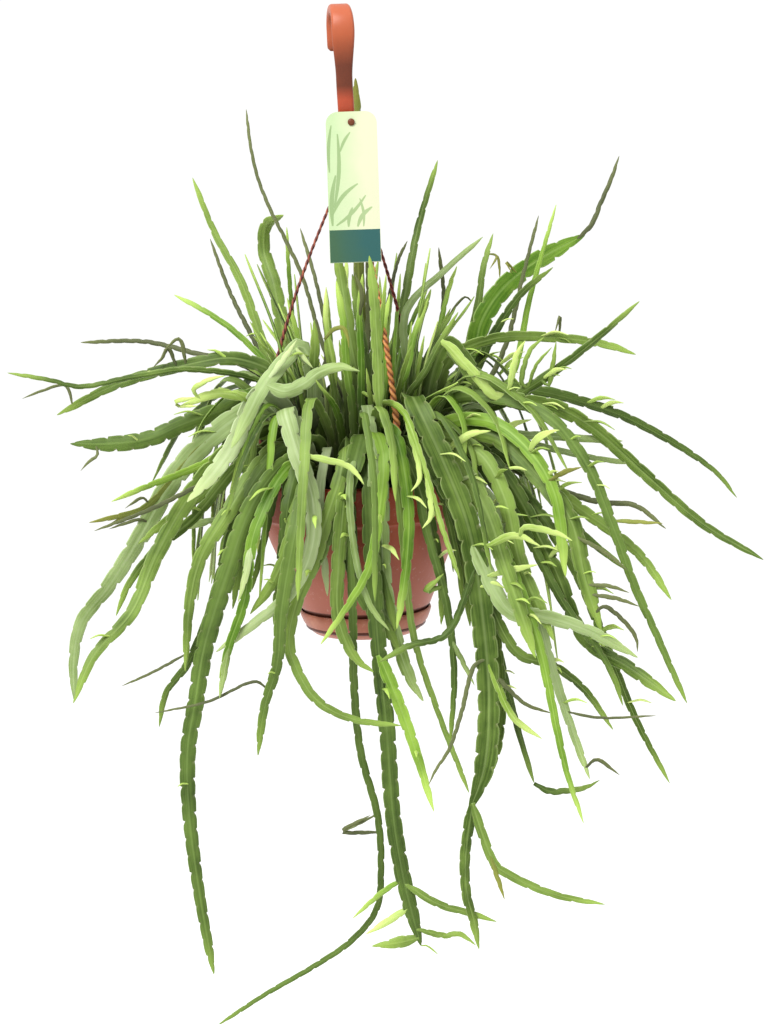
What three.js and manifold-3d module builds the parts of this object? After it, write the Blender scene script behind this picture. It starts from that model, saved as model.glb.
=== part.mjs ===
// A trailing forest cactus with flat stems, in a hanging pot with its saucer, hook, strands and label.
// Units are millimetres, +Z is up, +X is to the viewer's right and the viewer looks along +Y.
// The origin is the seat of the hook: the inner top of its crook, on which the whole part hangs.

import * as THREE from "three";
import { mergeVertices } from "three/addons/utils/BufferGeometryUtils.js";
import Module from "manifold-3d";

const wasm = await Module();
wasm.setup();

// Clearance between pieces that touch
const GAP = 0.3;

// Pot
const RIM_RADIUS = 75;
const RIM_TOP = -309;
const LIP_THICKNESS = 2.6;
const COLLAR_HEIGHT = 25.5;
const COLLAR_WALL = 1.6;
const POT_WALL = 1.8;
const BODY_TOP_RADIUS = 69.8;
const BODY_FOOT_RADIUS = 45.5;
const BODY_FOOT = -399;
const FOOT_RING_RADIUS = 41.6;
const POT_FLOOR = -408;
const FOOT_RING_BOTTOM = -413.5;
const DRAIN_HOLE_RADIUS = 4;
const DRAIN_HOLE_RING = 26;
const DRAIN_HOLES = 4;
const BEAD_HEIGHT = 1.5;
const BEAD_DEPTH = 1.1;

// Saucer
const SAUCER_RADIUS = 45.5;
const SAUCER_TOP = -401;
const SAUCER_BOTTOM = -417.6;
const SAUCER_FOOT_RADIUS = 35.5;
const SAUCER_WALL = 1.9;

// Soil and the rooted plugs under the clumps
const SOIL_TOP = -322;
const PLUG_RING = 42;
const PLUG_RADIUS = 8.4;
const PLUG_DEPTH = 20;
const PLUG_RISE = 4;
const PLUG_SIDES = 10;
const CLUMPS = 12;

// Hook
const HOOK_SEAT_RADIUS = 10;
const HOOK_THICKNESS = 7;
const HOOK_SWAY = 5.4;
const HOOK_SHANK_WIDTH = 11.5;
const HOOK_CROWN_WIDTH = 15.5;
const HOOK_BASE = -108;
const BASE_DISC_RADIUS = 12.5;
const BASE_DISC_THICKNESS = 5;
const PEG_HEIGHT = -71;
const PEG_RADIUS = 1.8;

// Strands
const STRAND_BEARINGS = { strand_left: 172, strand_front: -67, strand_back: 50 };
const STRAND_BOW = 8;
const STRAND_TOP_RING = 9.3;
const STRAND_RIM_RING = 71.6;
const STRAND_NECK = 1.1;
const STRAND_HOLE = STRAND_NECK + GAP;
const STRAND_TOP_BEAD = 2.1;
const STRAND_BARB = 1.6;

// Label
const LABEL_WIDTH = 34;
const LABEL_HEIGHT = 102;
const LABEL_THICKNESS = 0.8;
const LABEL_LEAN = 14;
const LABEL_CORNER = 8;
const LABEL_HOLE_FROM_TOP = 7;

// The eye from which the stems were measured: a stem point is stated where it is seen on the plane y = 0
const EYE = new THREE.Vector3(15.4, -1482.3, -106.1);

const plastic = (color) => new THREE.MeshStandardMaterial({ color, roughness: 0.5, metalness: 0 });
const MATERIALS = {
  pot: plastic(0xbf7560),
  hook: plastic(0xc25a3a),
  strand: plastic(0xa8522f),
  label: new THREE.MeshStandardMaterial({ color: 0xe8f0c4, roughness: 0.6, metalness: 0 }),
  soil: new THREE.MeshStandardMaterial({ color: 0x2a1d1a, roughness: 1, metalness: 0 }),
  stem: new THREE.MeshStandardMaterial({ color: 0x5a8a3a, roughness: 0.55, metalness: 0 }),
};

const part = new THREE.Group();

function addNode(name, geometry, material) {
  const mesh = new THREE.Mesh(geometry, material);
  mesh.name = name;
  part.add(mesh);
}

// A closed geometry as a solid, and back
function toSolid(geometry) {
  const bare = geometry.index ? geometry.toNonIndexed() : geometry.clone();
  bare.deleteAttribute("normal");
  bare.deleteAttribute("uv");
  const merged = mergeVertices(bare, 1e-4);
  return new wasm.Manifold(new wasm.Mesh({
    numProp: 3,
    vertProperties: new Float32Array(merged.attributes.position.array),
    triVerts: new Uint32Array(merged.index.array),
  }));
}

function toGeometry(solid) {
  const mesh = solid.getMesh();
  const geometry = new THREE.BufferGeometry();
  geometry.setAttribute("position", new THREE.BufferAttribute(mesh.vertProperties, 3));
  geometry.setIndex(new THREE.BufferAttribute(mesh.triVerts, 1));
  return geometry;
}

// An upright cylinder between two heights
function cylinder(radius, bottom, top, sides, x = 0, y = 0) {
  const geometry = new THREE.CylinderGeometry(radius, radius, top - bottom, sides);
  geometry.rotateX(Math.PI / 2);
  geometry.translate(x, y, (top + bottom) / 2);
  return geometry;
}

// A turned solid about the pot's axis, from points of radius and height that close on themselves
function turned(profile, segments) {
  const points = [...profile, profile[0]].map(([radius, height]) => new THREE.Vector2(radius, height));
  const geometry = new THREE.LatheGeometry(points, segments);
  geometry.rotateX(Math.PI / 2);
  return outward(geometry);
}

// The same surface with its faces pointing out
function outward(geometry) {
  const solid = geometry.index ? geometry.toNonIndexed() : geometry.clone();
  const position = solid.attributes.position;
  const [a, b, c] = [new THREE.Vector3(), new THREE.Vector3(), new THREE.Vector3()];
  let volume = 0;
  for (let i = 0; i < position.count; i += 3) {
    a.fromBufferAttribute(position, i);
    b.fromBufferAttribute(position, i + 1);
    c.fromBufferAttribute(position, i + 2);
    volume += a.dot(b.cross(c));
  }
  if (volume < 0) {
    for (let i = 0; i < position.count; i += 3) {
      b.fromBufferAttribute(position, i + 1);
      c.fromBufferAttribute(position, i + 2);
      position.setXYZ(i + 1, c.x, c.y, c.z);
      position.setXYZ(i + 2, b.x, b.y, b.z);
    }
  }
  return solid;
}

// A closed solid through rings of points, each ring convex and with the same number of points
function throughRings(rings) {
  const sides = rings[0].length;
  const positions = [];
  const push = (...points) => points.forEach((point) => positions.push(point.x, point.y, point.z));
  for (let i = 1; i < rings.length; i += 1) {
    for (let j = 0; j < sides; j += 1) {
      const k = (j + 1) % sides;
      push(rings[i - 1][j], rings[i - 1][k], rings[i][k]);
      push(rings[i - 1][j], rings[i][k], rings[i][j]);
    }
  }
  const last = rings[rings.length - 1];
  for (let j = 1; j < sides - 1; j += 1) {
    push(rings[0][0], rings[0][j + 1], rings[0][j]);
    push(last[0], last[j], last[j + 1]);
  }
  const geometry = new THREE.BufferGeometry();
  geometry.setAttribute("position", new THREE.Float32BufferAttribute(positions, 3));
  return outward(geometry);
}

const onCircle = (radius, degrees, z = 0) => {
  const angle = THREE.MathUtils.degToRad(degrees);
  return new THREE.Vector3(radius * Math.cos(angle), radius * Math.sin(angle), z);
};

// Pot: a thin shell with a skirted collar, a foot ring, drain holes and a lip hole for each strand
function pot() {
  const lipBottom = RIM_TOP - LIP_THICKNESS;
  const skirtInside = RIM_RADIUS - COLLAR_WALL;
  const beadTop = SAUCER_TOP - SAUCER_WALL - BEAD_HEIGHT - GAP;
  const shell = toSolid(turned([
    [0, POT_FLOOR + POT_WALL],
    [FOOT_RING_RADIUS - POT_WALL - 1, POT_FLOOR + POT_WALL],
    [BODY_FOOT_RADIUS - POT_WALL - 0.6, BODY_FOOT + 2],
    [BODY_TOP_RADIUS - POT_WALL, RIM_TOP - COLLAR_HEIGHT],
    [BODY_TOP_RADIUS - POT_WALL, RIM_TOP - 0.8],
    [BODY_TOP_RADIUS - POT_WALL + 0.8, RIM_TOP],
    [RIM_RADIUS - 0.9, RIM_TOP],
    [RIM_RADIUS, RIM_TOP - 0.9],
    [RIM_RADIUS - 0.6, RIM_TOP - COLLAR_HEIGHT],
    [skirtInside - 0.6, RIM_TOP - COLLAR_HEIGHT],
    [skirtInside, lipBottom],
    [BODY_TOP_RADIUS, lipBottom],
    [BODY_TOP_RADIUS, RIM_TOP - COLLAR_HEIGHT],
    [BODY_FOOT_RADIUS, BODY_FOOT],
    [FOOT_RING_RADIUS, BODY_FOOT - 1],
    [FOOT_RING_RADIUS, beadTop],
    [FOOT_RING_RADIUS + BEAD_DEPTH, beadTop - BEAD_HEIGHT / 2],
    [FOOT_RING_RADIUS, beadTop - BEAD_HEIGHT],
    [FOOT_RING_RADIUS - 3, FOOT_RING_BOTTOM],
    [FOOT_RING_RADIUS - 3 - POT_WALL, FOOT_RING_BOTTOM],
    [FOOT_RING_RADIUS - 3 - POT_WALL, POT_FLOOR],
    [0, POT_FLOOR],
  ], 36));
  let solid = shell;
  for (let i = 0; i < DRAIN_HOLES; i += 1) {
    const at = onCircle(DRAIN_HOLE_RING, (i * 360) / DRAIN_HOLES);
    solid = solid.subtract(toSolid(cylinder(DRAIN_HOLE_RADIUS, POT_FLOOR - 2, POT_FLOOR + 4, 8, at.x, at.y)));
  }
  for (const bearing of Object.values(STRAND_BEARINGS)) {
    const at = onCircle(STRAND_RIM_RING, bearing);
    solid = solid.subtract(toSolid(cylinder(STRAND_HOLE, lipBottom - 1, RIM_TOP + 1, 8, at.x, at.y)));
  }
  return toGeometry(solid);
}

// Saucer: a small bowl whose inner bead snaps in above the bead of the pot's foot ring
function saucer() {
  const inner = SAUCER_RADIUS - SAUCER_WALL;
  const bead = FOOT_RING_RADIUS + GAP;
  return turned([
    [0, SAUCER_BOTTOM],
    [SAUCER_FOOT_RADIUS, SAUCER_BOTTOM],
    [SAUCER_FOOT_RADIUS + 2.6, SAUCER_BOTTOM + 1.2],
    [SAUCER_RADIUS - 1.6, SAUCER_TOP - 7],
    [SAUCER_RADIUS, SAUCER_TOP - 1],
    [SAUCER_RADIUS - 0.6, SAUCER_TOP],
    [bead, SAUCER_TOP],
    [bead, SAUCER_TOP - SAUCER_WALL],
    [inner, SAUCER_TOP - SAUCER_WALL - 0.6],
    [inner - 1, SAUCER_TOP - 7.6],
    [SAUCER_FOOT_RADIUS + 4.4, FOOT_RING_BOTTOM - GAP - 0.4],
    [SAUCER_FOOT_RADIUS - 1, FOOT_RING_BOTTOM - GAP - 0.9],
    [SAUCER_FOOT_RADIUS - 2, SAUCER_BOTTOM + SAUCER_WALL],
    [0, SAUCER_BOTTOM + SAUCER_WALL],
  ], 32);
}

// Bearing of each clump's plug: evenly round the pot, starting at the viewer's right
const plugBearing = (index) => (index * 360) / CLUMPS;

// Soil: fills the pot to just below its rim, with a plain hole for each plug
function soil() {
  const bottom = POT_FLOOR + POT_WALL + GAP;
  const top = RIM_TOP - COLLAR_HEIGHT;
  const inside = BODY_TOP_RADIUS - POT_WALL - GAP;
  let solid = toSolid(turned([
    [0, bottom],
    [FOOT_RING_RADIUS - POT_WALL - 1 - GAP, bottom],
    [BODY_FOOT_RADIUS - POT_WALL - 0.6 - GAP, BODY_FOOT + 2],
    [inside - GAP, top],
    [inside - 0.4, SOIL_TOP - 2],
    [inside - 6, SOIL_TOP],
    [0, SOIL_TOP + 1.5],
  ], 30));
  for (let i = 0; i < CLUMPS; i += 1) {
    const at = onCircle(PLUG_RING, plugBearing(i));
    const floor = SOIL_TOP - PLUG_DEPTH - GAP;
    const hole = cylinder(PLUG_RADIUS + GAP, floor, SOIL_TOP + 6, PLUG_SIDES, at.x, at.y);
    solid = solid.subtract(toSolid(hole));
  }
  return toGeometry(solid);
}

// Hook: a flat shank that bows forward, a crook over the seat and a short tip behind it
function hook() {
  const crook = HOOK_SEAT_RADIUS + HOOK_THICKNESS / 2;
  const route = [
    [0, 0, HOOK_BASE], [-0.6, 0, -84], [-1.2, -1, -62], [-1.6, -6, -44], [-1.4, -11.5, -28],
    [-1.2, -crook, -12],
  ];
  for (let angle = 160; angle >= 0; angle -= 20) {
    const turn = THREE.MathUtils.degToRad(angle);
    const across = -1.2 - (HOOK_SWAY * (1 + Math.cos(turn))) / 2;
    route.push([across, crook * Math.cos(turn), crook * Math.sin(turn) - HOOK_SEAT_RADIUS]);
  }
  route.push([-1.4 - HOOK_SWAY, crook, -17], [-1.6 - HOOK_SWAY, crook + 0.8, -23]);
  const curve = new THREE.CatmullRomCurve3(route.map((at) => new THREE.Vector3(...at)));
  const steps = 18;
  const rings = [];
  for (let i = 0; i <= steps; i += 1) {
    const share = i / steps;
    const centre = curve.getPointAt(share);
    const tangent = curve.getTangentAt(share);
    const out = new THREE.Vector3(0, tangent.z, -tangent.y);
    const width = share < 0.6
      ? HOOK_SHANK_WIDTH + 4 * Math.max(0, share - 0.25) / 0.35
      : HOOK_CROWN_WIDTH - 4.5 * (share - 0.6) / 0.4;
    const depth = share < 0.35 ? 5.2 : HOOK_THICKNESS - 2.4 * Math.max(0, share - 0.75) / 0.25;
    const chamfer = 0.3;
    const corners = [[1, 1 - chamfer], [1 - chamfer, 1], [chamfer - 1, 1], [-1, 1 - chamfer]];
    const outline = [...corners, ...corners.map(([across, up]) => [-across, -up])];
    rings.push(outline.map(([across, up]) => centre.clone()
      .addScaledVector(new THREE.Vector3(1, 0, 0), (across * width) / 2)
      .addScaledVector(out, (up * depth) / 2)));
  }
  const crookGeometry = throughRings(rings);
  const disc = cylinder(BASE_DISC_RADIUS, HOOK_BASE - 2, HOOK_BASE - 2 + BASE_DISC_THICKNESS, 24);
  const peg = new THREE.CylinderGeometry(PEG_RADIUS, PEG_RADIUS, 9, 10);
  peg.translate(2, -6.5, PEG_HEIGHT);
  let solid = toSolid(crookGeometry).add(toSolid(disc)).add(toSolid(peg));
  for (const bearing of Object.values(STRAND_BEARINGS)) {
    const at = onCircle(STRAND_TOP_RING, bearing);
    solid = solid.subtract(toSolid(cylinder(STRAND_HOLE, HOOK_BASE - 6, HOOK_BASE + 6, 8, at.x, at.y)));
  }
  return toGeometry(solid);
}

// Strand: from a bead on the hook's base disc, down to a barb under the pot's lip
function strand(bearing) {
  const discTop = HOOK_BASE - 2 + BASE_DISC_THICKNESS;
  const discBottom = HOOK_BASE - 2;
  const top = onCircle(STRAND_TOP_RING, bearing);
  const rim = onCircle(STRAND_RIM_RING, bearing);
  const lipBottom = RIM_TOP - LIP_THICKNESS;
  const stations = [
    [top, discTop + 3.4, 1.2],
    [top, discTop + 1.8, STRAND_TOP_BEAD],
    [top, discTop + GAP, STRAND_TOP_BEAD],
    [top, discTop + GAP / 2, STRAND_NECK],
    [top, discBottom - GAP / 2, STRAND_NECK],
    [top, discBottom - 1.5, 1.4],
  ];
  const steps = 10;
  for (let i = 1; i < steps; i += 1) {
    const share = i / steps;
    const bow = STRAND_BOW * Math.sin(Math.PI * share);
    const radius = THREE.MathUtils.lerp(STRAND_TOP_RING, STRAND_RIM_RING, share) + bow;
    const height = THREE.MathUtils.lerp(discBottom - 4, RIM_TOP + 8, share);
    stations.push([onCircle(radius, bearing), height, 1.4 + 0.9 * share * share]);
  }
  stations.push(
    [rim, RIM_TOP + 5, 2.4],
    [rim, RIM_TOP + GAP, 2.4],
    [rim, RIM_TOP + GAP / 2, STRAND_NECK],
    [rim, lipBottom - GAP / 2, STRAND_NECK],
    [rim, lipBottom - GAP, STRAND_BARB],
    [rim, lipBottom - 4, 0.6],
  );
  return throughRings(stations.map(([at, z, radius]) => {
    const ring = [];
    for (let side = 0; side < 6; side += 1) {
      ring.push(onCircle(radius, side * 60 + bearing).add(new THREE.Vector3(at.x, at.y, z)));
    }
    return ring;
  }));
}

// Label: a flat card that hangs on the peg and leans on the front strand
function label() {
  const card = new THREE.Shape();
  const left = -LABEL_WIDTH / 2;
  card.moveTo(left, LABEL_HOLE_FROM_TOP - LABEL_HEIGHT);
  card.lineTo(-left, LABEL_HOLE_FROM_TOP - LABEL_HEIGHT);
  card.lineTo(-left, LABEL_HOLE_FROM_TOP - LABEL_CORNER);
  card.quadraticCurveTo(-left, LABEL_HOLE_FROM_TOP, -left - LABEL_CORNER, LABEL_HOLE_FROM_TOP);
  card.lineTo(left + LABEL_CORNER, LABEL_HOLE_FROM_TOP);
  card.quadraticCurveTo(left, LABEL_HOLE_FROM_TOP, left, LABEL_HOLE_FROM_TOP - LABEL_CORNER);
  card.closePath();
  const hole = new THREE.Path();
  hole.absarc(0, 0, PEG_RADIUS + 0.5, 0, Math.PI * 2, true);
  card.holes.push(hole);
  const geometry = new THREE.ExtrudeGeometry(card, {
    depth: LABEL_THICKNESS, bevelEnabled: false, curveSegments: 4,
  });
  geometry.rotateX(Math.PI / 2 - THREE.MathUtils.degToRad(LABEL_LEAN));
  geometry.translate(2, -8.2, PEG_HEIGHT);
  return geometry;
}

// Stems. Each row is one strap: its width at the root's end and at the tip, the bearing in degrees of the
// upright plane it grows in, and points [x, z] where it is seen on the plane y = 0. A third value in a point
// is its distance in front of that plane, for a strap that doesn't keep to one bearing. A shoot names the
// strap that it grows from and how far along it.
const STEM_THICKNESS = 2.6;
const CREST = 1.32;
const NOTCH = 1.06;
const TAPER = 2.4;
const CLUMP_STEMS = [
  { // Right
    name: "stems_right",
    stems: [
      { wide: 8.5, tip: 4, bearing: -4,
        at: [[62, -234], [92, -219], [140, -220], [171, -226], [190, -233]] },
      { wide: 8.5, tip: 2, bearing: 5,
        at: [[70, -258], [100, -253], [130, -257], [164, -268], [185, -277], [222, -299], [245, -317],
          [258, -334]] },
      { wide: 8, tip: 3, bearing: 9, at: [[62, -262], [80, -240], [92, -218], [113, -189], [135, -172]] },
      { wide: 5, tip: 2, bearing: 12, at: [[85, -268], [105, -245], [119, -191], [138, -130]] },
      { wide: 5, tip: 3, bearing: -9,
        at: [[75, -285], [110, -290], [140, -298], [165, -304], [190, -308]] },
    ],
  },
  { // Right, behind
    name: "stems_right_back",
    stems: [
      { key: "arch", wide: 14.5, tip: 10, bearing: 25,
        at: [[58, -262], [78, -235], [85, -208], [99, -187], [120, -170], [142, -158], [157, -151]] },
      { from: "arch", share: 0.97, wide: 3.4, tip: 2, bearing: 25,
        at: [[161, -145], [168, -130], [175, -115], [181, -99]] },
      { wide: 7, tip: 3, bearing: 32, at: [[52, -262], [70, -240], [83, -198], [88, -170], [95, -148]] },
      { wide: 6, tip: 3, bearing: 38, at: [[38, -262], [34, -200], [61, -172], [88, -150]] },
      { wide: 4, tip: 2, bearing: 20, at: [[80, -262], [101, -225], [115, -175], [126, -137]] },
      { wide: 4, tip: 3, bearing: 41, at: [[44, -262], [52, -232], [64, -184], [70, -169]] },
    ],
  },
  { // Behind, to the right
    name: "stems_back_right",
    stems: [
      { wide: 7, tip: 3, bearing: 62, at: [[22, -262], [24, -235], [34, -190], [44, -144], [59, -98]] },
      { wide: 4, tip: 2.5, bearing: 62, at: [[29, -266], [47, -235], [60, -195], [58, -156]] },
      { wide: 6, tip: 4, bearing: 62, at: [[26, -262], [33, -235], [44, -204], [52, -184]] },
      { wide: 3, tip: 2, bearing: 66, at: [[14, -262], [18, -215], [30, -165], [37, -151]] },
    ],
  },
  { // Behind
    name: "stems_back",
    stems: [
      { wide: 4, tip: 3, bearing: 90,
        at: [[4, -262, -46], [9, -200, -44], [10, -120, -30], [8, -62, -20]] },
      { wide: 3, tip: 2, bearing: 90,
        at: [[-10, -262, -50], [-24, -215, -58], [-35, -172, -66], [-45, -148, -70], [-55, -126, -74],
          [-62, -106, -78], [-66, -85, -80], [-68, -60, -84]] },
    ],
  },
  { // Behind, to the left
    name: "stems_back_left",
    stems: [
      { wide: 11, tip: 7, bearing: 122,
        at: [[-40, -262], [-46, -235], [-50, -205], [-54, -178], [-60, -153], [-58, -138], [-46, -131]] },
      { wide: 4, tip: 2.5, bearing: 112,
        at: [[-28, -262], [-42, -225], [-43, -190], [-44, -160], [-44, -139]] },
      { wide: 3.4, tip: 2, bearing: 132, at: [[-30, -262], [-20, -222], [-25, -180], [-35, -140]] },
      { wide: 9, tip: 6, bearing: 126, at: [[-26, -262], [-36, -232], [-42, -214]] },
    ],
  },
  { // Left, behind
    name: "stems_left_back",
    stems: [
      { wide: 7, tip: 3, bearing: 150,
        at: [[-48, -262], [-60, -228], [-76, -176], [-93, -141], [-106, -104]] },
      { wide: 4, tip: 2, bearing: 140, at: [[-50, -262], [-66, -222], [-84, -182], [-96, -145]] },
      { wide: 5, tip: 3, bearing: 155, at: [[-56, -240], [-79, -211], [-101, -194], [-122, -182]] },
      { wide: 4, tip: 2.5, bearing: 163,
        at: [[-60, -245], [-82, -229], [-106, -223], [-143, -213], [-187, -212]] },
    ],
  },
  { // Left
    name: "stems_left",
    stems: [
      { wide: 10, tip: 4, bearing: 176,
        at: [[-52, -243], [-80, -227], [-117, -230], [-165, -242], [-206, -261]] },
      { wide: 4.5, tip: 2.5, bearing: 182,
        at: [[-56, -250], [-110, -233], [-149, -236], [-190, -242], [-209, -237], [-238, -231]] },
      { key: "notched", wide: 12, tip: 9, bearing: 187,
        at: [[-50, -262], [-64, -252], [-98, -263], [-120, -270], [-143, -279], [-170, -282],
          [-198, -281]] },
    ],
  },
  { // Left, in front
    name: "stems_left_front",
    stems: [
      { wide: 8, tip: 5, bearing: 196, at: [[-56, -268], [-92, -250], [-122, -258]] },
      { wide: 6, tip: 3, bearing: 204, at: [[-64, -280], [-112, -300], [-152, -314], [-172, -322]] },
      { key: "outer", wide: 15, tip: 4, bearing: 200,
        at: [[-48, -270], [-70, -262], [-109, -286], [-132, -312], [-154, -348], [-178, -382],
          [-197, -405], [-204, -432], [-205, -462]] },
      { from: "outer", share: 0.4, wide: 5, tip: 2.5, bearing: 200,
        at: [[-150, -327], [-168, -332], [-188, -336]] },
      { wide: 8, tip: 4, bearing: 207, at: [[-55, -285], [-95, -310], [-130, -333], [-155, -352]] },
      { wide: 12.5, tip: 4, bearing: 213,
        at: [[-58, -275], [-86, -287], [-112, -312], [-143, -360], [-162, -400], [-190, -430],
          [-206, -463]] },
      { wide: 13, tip: 8, bearing: 220,
        at: [[-50, -262], [-66, -250], [-88, -288], [-105, -309], [-120, -324]] },
      { wide: 8, tip: 3, bearing: 209,
        at: [[-70, -292], [-118, -337], [-145, -358], [-163, -380], [-173, -402]] },
    ],
  },
  { // Front, to the left
    name: "stems_front_left",
    stems: [
      { wide: 12, tip: 3,
        at: [[-55, -290, 55], [-75, -308, 72], [-94, -335, 84], [-112, -362, 88], [-121, -392, 86],
          [-127, -443, 84]] },
      { wide: 9, tip: 3,
        at: [[-50, -290, 58], [-78, -318, 78], [-97, -370, 80], [-110, -408, 78], [-126, -439, 78],
          [-141, -458, 78], [-147, -482, 78]] },
      { wide: 12.5, tip: 5,
        at: [[-44, -295, 62], [-72, -322, 86], [-96, -378, 92], [-113, -427, 90], [-121, -465, 90],
          [-128, -500, 90], [-129, -545, 90], [-125, -600, 90], [-117, -664, 90]] },
      { wide: 8, tip: 4,
        at: [[-46, -300, 66], [-74, -345, 92], [-84, -395, 92], [-97, -430, 92], [-104, -463, 92]] },
      { wide: 12, tip: 4,
        at: [[-38, -285, 60], [-50, -262, 72], [-44, -290, 88], [-34, -325, 94], [-36, -360, 94],
          [-52, -390, 92], [-78, -411, 90], [-105, -430, 88]] },
      { wide: 9, tip: 6, at: [[-40, -300, 66], [-51, -330, 84], [-54, -375, 74], [-62, -420, 66]] },
      { wide: 10, tip: 5, at: [[-38, -305, 68], [-50, -350, 92], [-62, -380, 88], [-80, -404, 86]] },
      { wide: 10, tip: 4,
        at: [[-36, -310, 72], [-46, -345, 96], [-58, -400, 96], [-63, -440, 92], [-73, -470, 90],
          [-79, -505, 90]] },
    ],
  },
  { // Front
    name: "stems_front",
    stems: [
      { wide: 10, tip: 6, at: [[2, -262, 34], [-4, -215, 24], [-8, -180, 16], [-12, -150, 10]] },
      { wide: 7, tip: 5, at: [[8, -262, 38], [4, -215, 30], [-1, -172, 22]] },
      { wide: 12, tip: 6,
        at: [[-10, -290, 66], [-14, -310, 84], [-25, -340, 86], [-36, -372, 84], [-47, -395, 84],
          [-54, -425, 84], [-49, -445, 86], [-36, -467, 90], [-12, -481, 88], [22, -487, 86]] },
      { wide: 10, tip: 6,
        at: [[-6, -295, 68], [-12, -325, 86], [-18, -375, 86], [-19, -410, 84], [-8, -438, 82],
          [4, -448, 82]] },
      { wide: 8, tip: 3,
        at: [[10, -280, 66], [16, -296, 88], [12, -335, 98], [3, -375, 98], [-12, -400, 98],
          [-32, -427, 98]] },
      { wide: 5, tip: 3,
        at: [[-2, -290, 70], [-8, -318, 92], [-5, -370, 94], [4, -402, 94], [16, -419, 94]] },
      { key: "centre", wide: 10.5, tip: 9.5,
        at: [[4, -290, 62], [5, -320, 84], [6, -380, 82], [8, -430, 78], [12, -490, 76], [14, -550, 76],
          [19, -592, 76], [24, -618, 76], [31, -648, 76]] },
      { from: "centre", share: 0.985, wide: 8, tip: 6, at: [[15, -645, 76], [-4, -647, 76]] },
      { from: "centre", share: 0.93, wide: 5, tip: 3, at: [[8, -629, 78], [-8, -638, 80]] },
      { from: "centre", share: 0.88, wide: 4, tip: 2, at: [[4, -608, 74], [-17, -626, 72]] },
      { from: "centre", share: 0.89, wide: 5, tip: 3,
        at: [[45, -618, 80], [66, -625, 82], [85, -632, 84]] },
      { from: "centre", share: 0.97, wide: 4, tip: 2.5,
        at: [[48, -641, 74], [58, -640, 74], [70, -649, 74]] },
      { from: "centre", share: 0.5, wide: 8, tip: 3,
        at: [[24, -480, 80], [33, -510, 82], [43, -550, 84]] },
      { wide: 5.5, tip: 2.5,
        at: [[-4, -300, 68], [-8, -318, 86], [-9, -350, 86], [-9, -410, 72], [-10, -455, 66],
          [-7, -505, 66], [3, -550, 66], [4.5, -585, 66], [0, -620, 66], [-18, -642, 66], [-45, -660, 66],
          [-81, -680, 66], [-116, -702, 66]] },
    ],
  },
  { // Front, to the right
    name: "stems_front_right",
    stems: [
      { key: "long", wide: 15, tip: 13,
        at: [[36, -285, 44], [36, -257, 60], [43, -270, 74], [57, -303, 84], [73, -350, 90],
          [80, -400, 90], [84, -470, 88], [79, -520, 86], [68, -550, 86]] },
      { from: "long", share: 0.985, wide: 7, tip: 5,
        at: [[64, -585, 86], [64.5, -612, 86], [69, -632, 86], [72, -652, 86]] },
      { from: "long", share: 0.985, wide: 6, tip: 2.5,
        at: [[79, -575, 88], [85, -590, 90], [100, -601, 92], [128, -614, 94], [162, -622, 94]] },
      { from: "long", share: 0.52, wide: 10, tip: 7,
        at: [[100, -408, 96], [122, -412, 102], [155, -424, 106], [188, -444, 108]] },
      { from: "long", share: 0.58, wide: 7, tip: 3,
        at: [[105, -438, 84], [128, -447, 82], [150, -465, 80], [170, -495, 78]] },
      { from: "long", share: 0.72, wide: 5, tip: 3, at: [[100, -483, 92], [120, -500, 94]] },
      { from: "long", share: 0.56, wide: 4.5, tip: 4,
        at: [[55, -423, 94], [30, -430, 96], [8, -441, 96]] },
      { wide: 11, tip: 9,
        at: [[37, -290, 44], [55, -314, 70], [76, -360, 74], [87, -420, 72], [90, -480, 72],
          [82, -530, 72]] },
      { key: "lime", wide: 4.5, tip: 3,
        at: [[16, -262, 56], [30, -266, 78], [42, -300, 92], [54, -345, 98], [66, -385, 98]] },
      { from: "lime", share: 0.5, wide: 4, tip: 2.5, at: [[40, -314, 98], [34, -322, 100]] },
      { from: "lime", share: 0.68, wide: 4, tip: 2.5, at: [[47, -340, 100], [41, -348, 102]] },
      { wide: 9, tip: 4,
        at: [[14, -280, 54], [25, -284, 84], [32, -335, 93], [29, -375, 92], [21, -418, 90]] },
      { wide: 11, tip: 7,
        at: [[14, -295, 66], [13, -330, 82], [14, -385, 76], [20, -422, 72], [30, -455, 72],
          [38, -470, 72]] },
      { wide: 6, tip: 3,
        at: [[38, -300, 58], [42, -340, 80], [56, -400, 76], [60, -450, 74], [56, -500, 74]] },
      { wide: 7, tip: 3,
        at: [[36, -296, 56], [56, -325, 70], [76, -365, 64], [92, -440, 64], [103, -490, 64],
          [114, -532, 64]] },
      { wide: 5, tip: 3,
        at: [[20, -298, 64], [25, -322, 86], [28, -365, 82], [33, -425, 66], [47, -475, 64],
          [68, -537, 64]] },
    ],
  },
  { // Right, in front
    name: "stems_right_front",
    stems: [
      { key: "far", wide: 12, tip: 3, bearing: -18,
        at: [[52, -240], [62, -222], [82, -246], [103, -260], [135, -267], [160, -282], [197, -317],
          [235, -352], [276, -378]] },
      { wide: 8.5, tip: 3, bearing: -28,
        at: [[60, -262], [98, -260], [130, -274], [155, -307], [172, -350], [187, -394], [200, -425],
          [211, -452], [222, -478]] },
      { wide: 10, tip: 4, bearing: -22,
        at: [[64, -285], [108, -305], [148, -336], [190, -371], [212, -404]] },
      { wide: 13, tip: 8, bearing: -34,
        at: [[58, -285], [92, -285], [120, -312], [143, -345], [152, -385], [163, -425]] },
      { wide: 11, tip: 8, bearing: -40,
        at: [[50, -285], [82, -298], [98, -328], [108, -375], [130, -430]] },
      { wide: 8, tip: 3, bearing: -13,
        at: [[58, -275], [100, -262], [135, -242], [164, -221], [193, -197]] },
      { wide: 10.5, tip: 7, bearing: -30,
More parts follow.
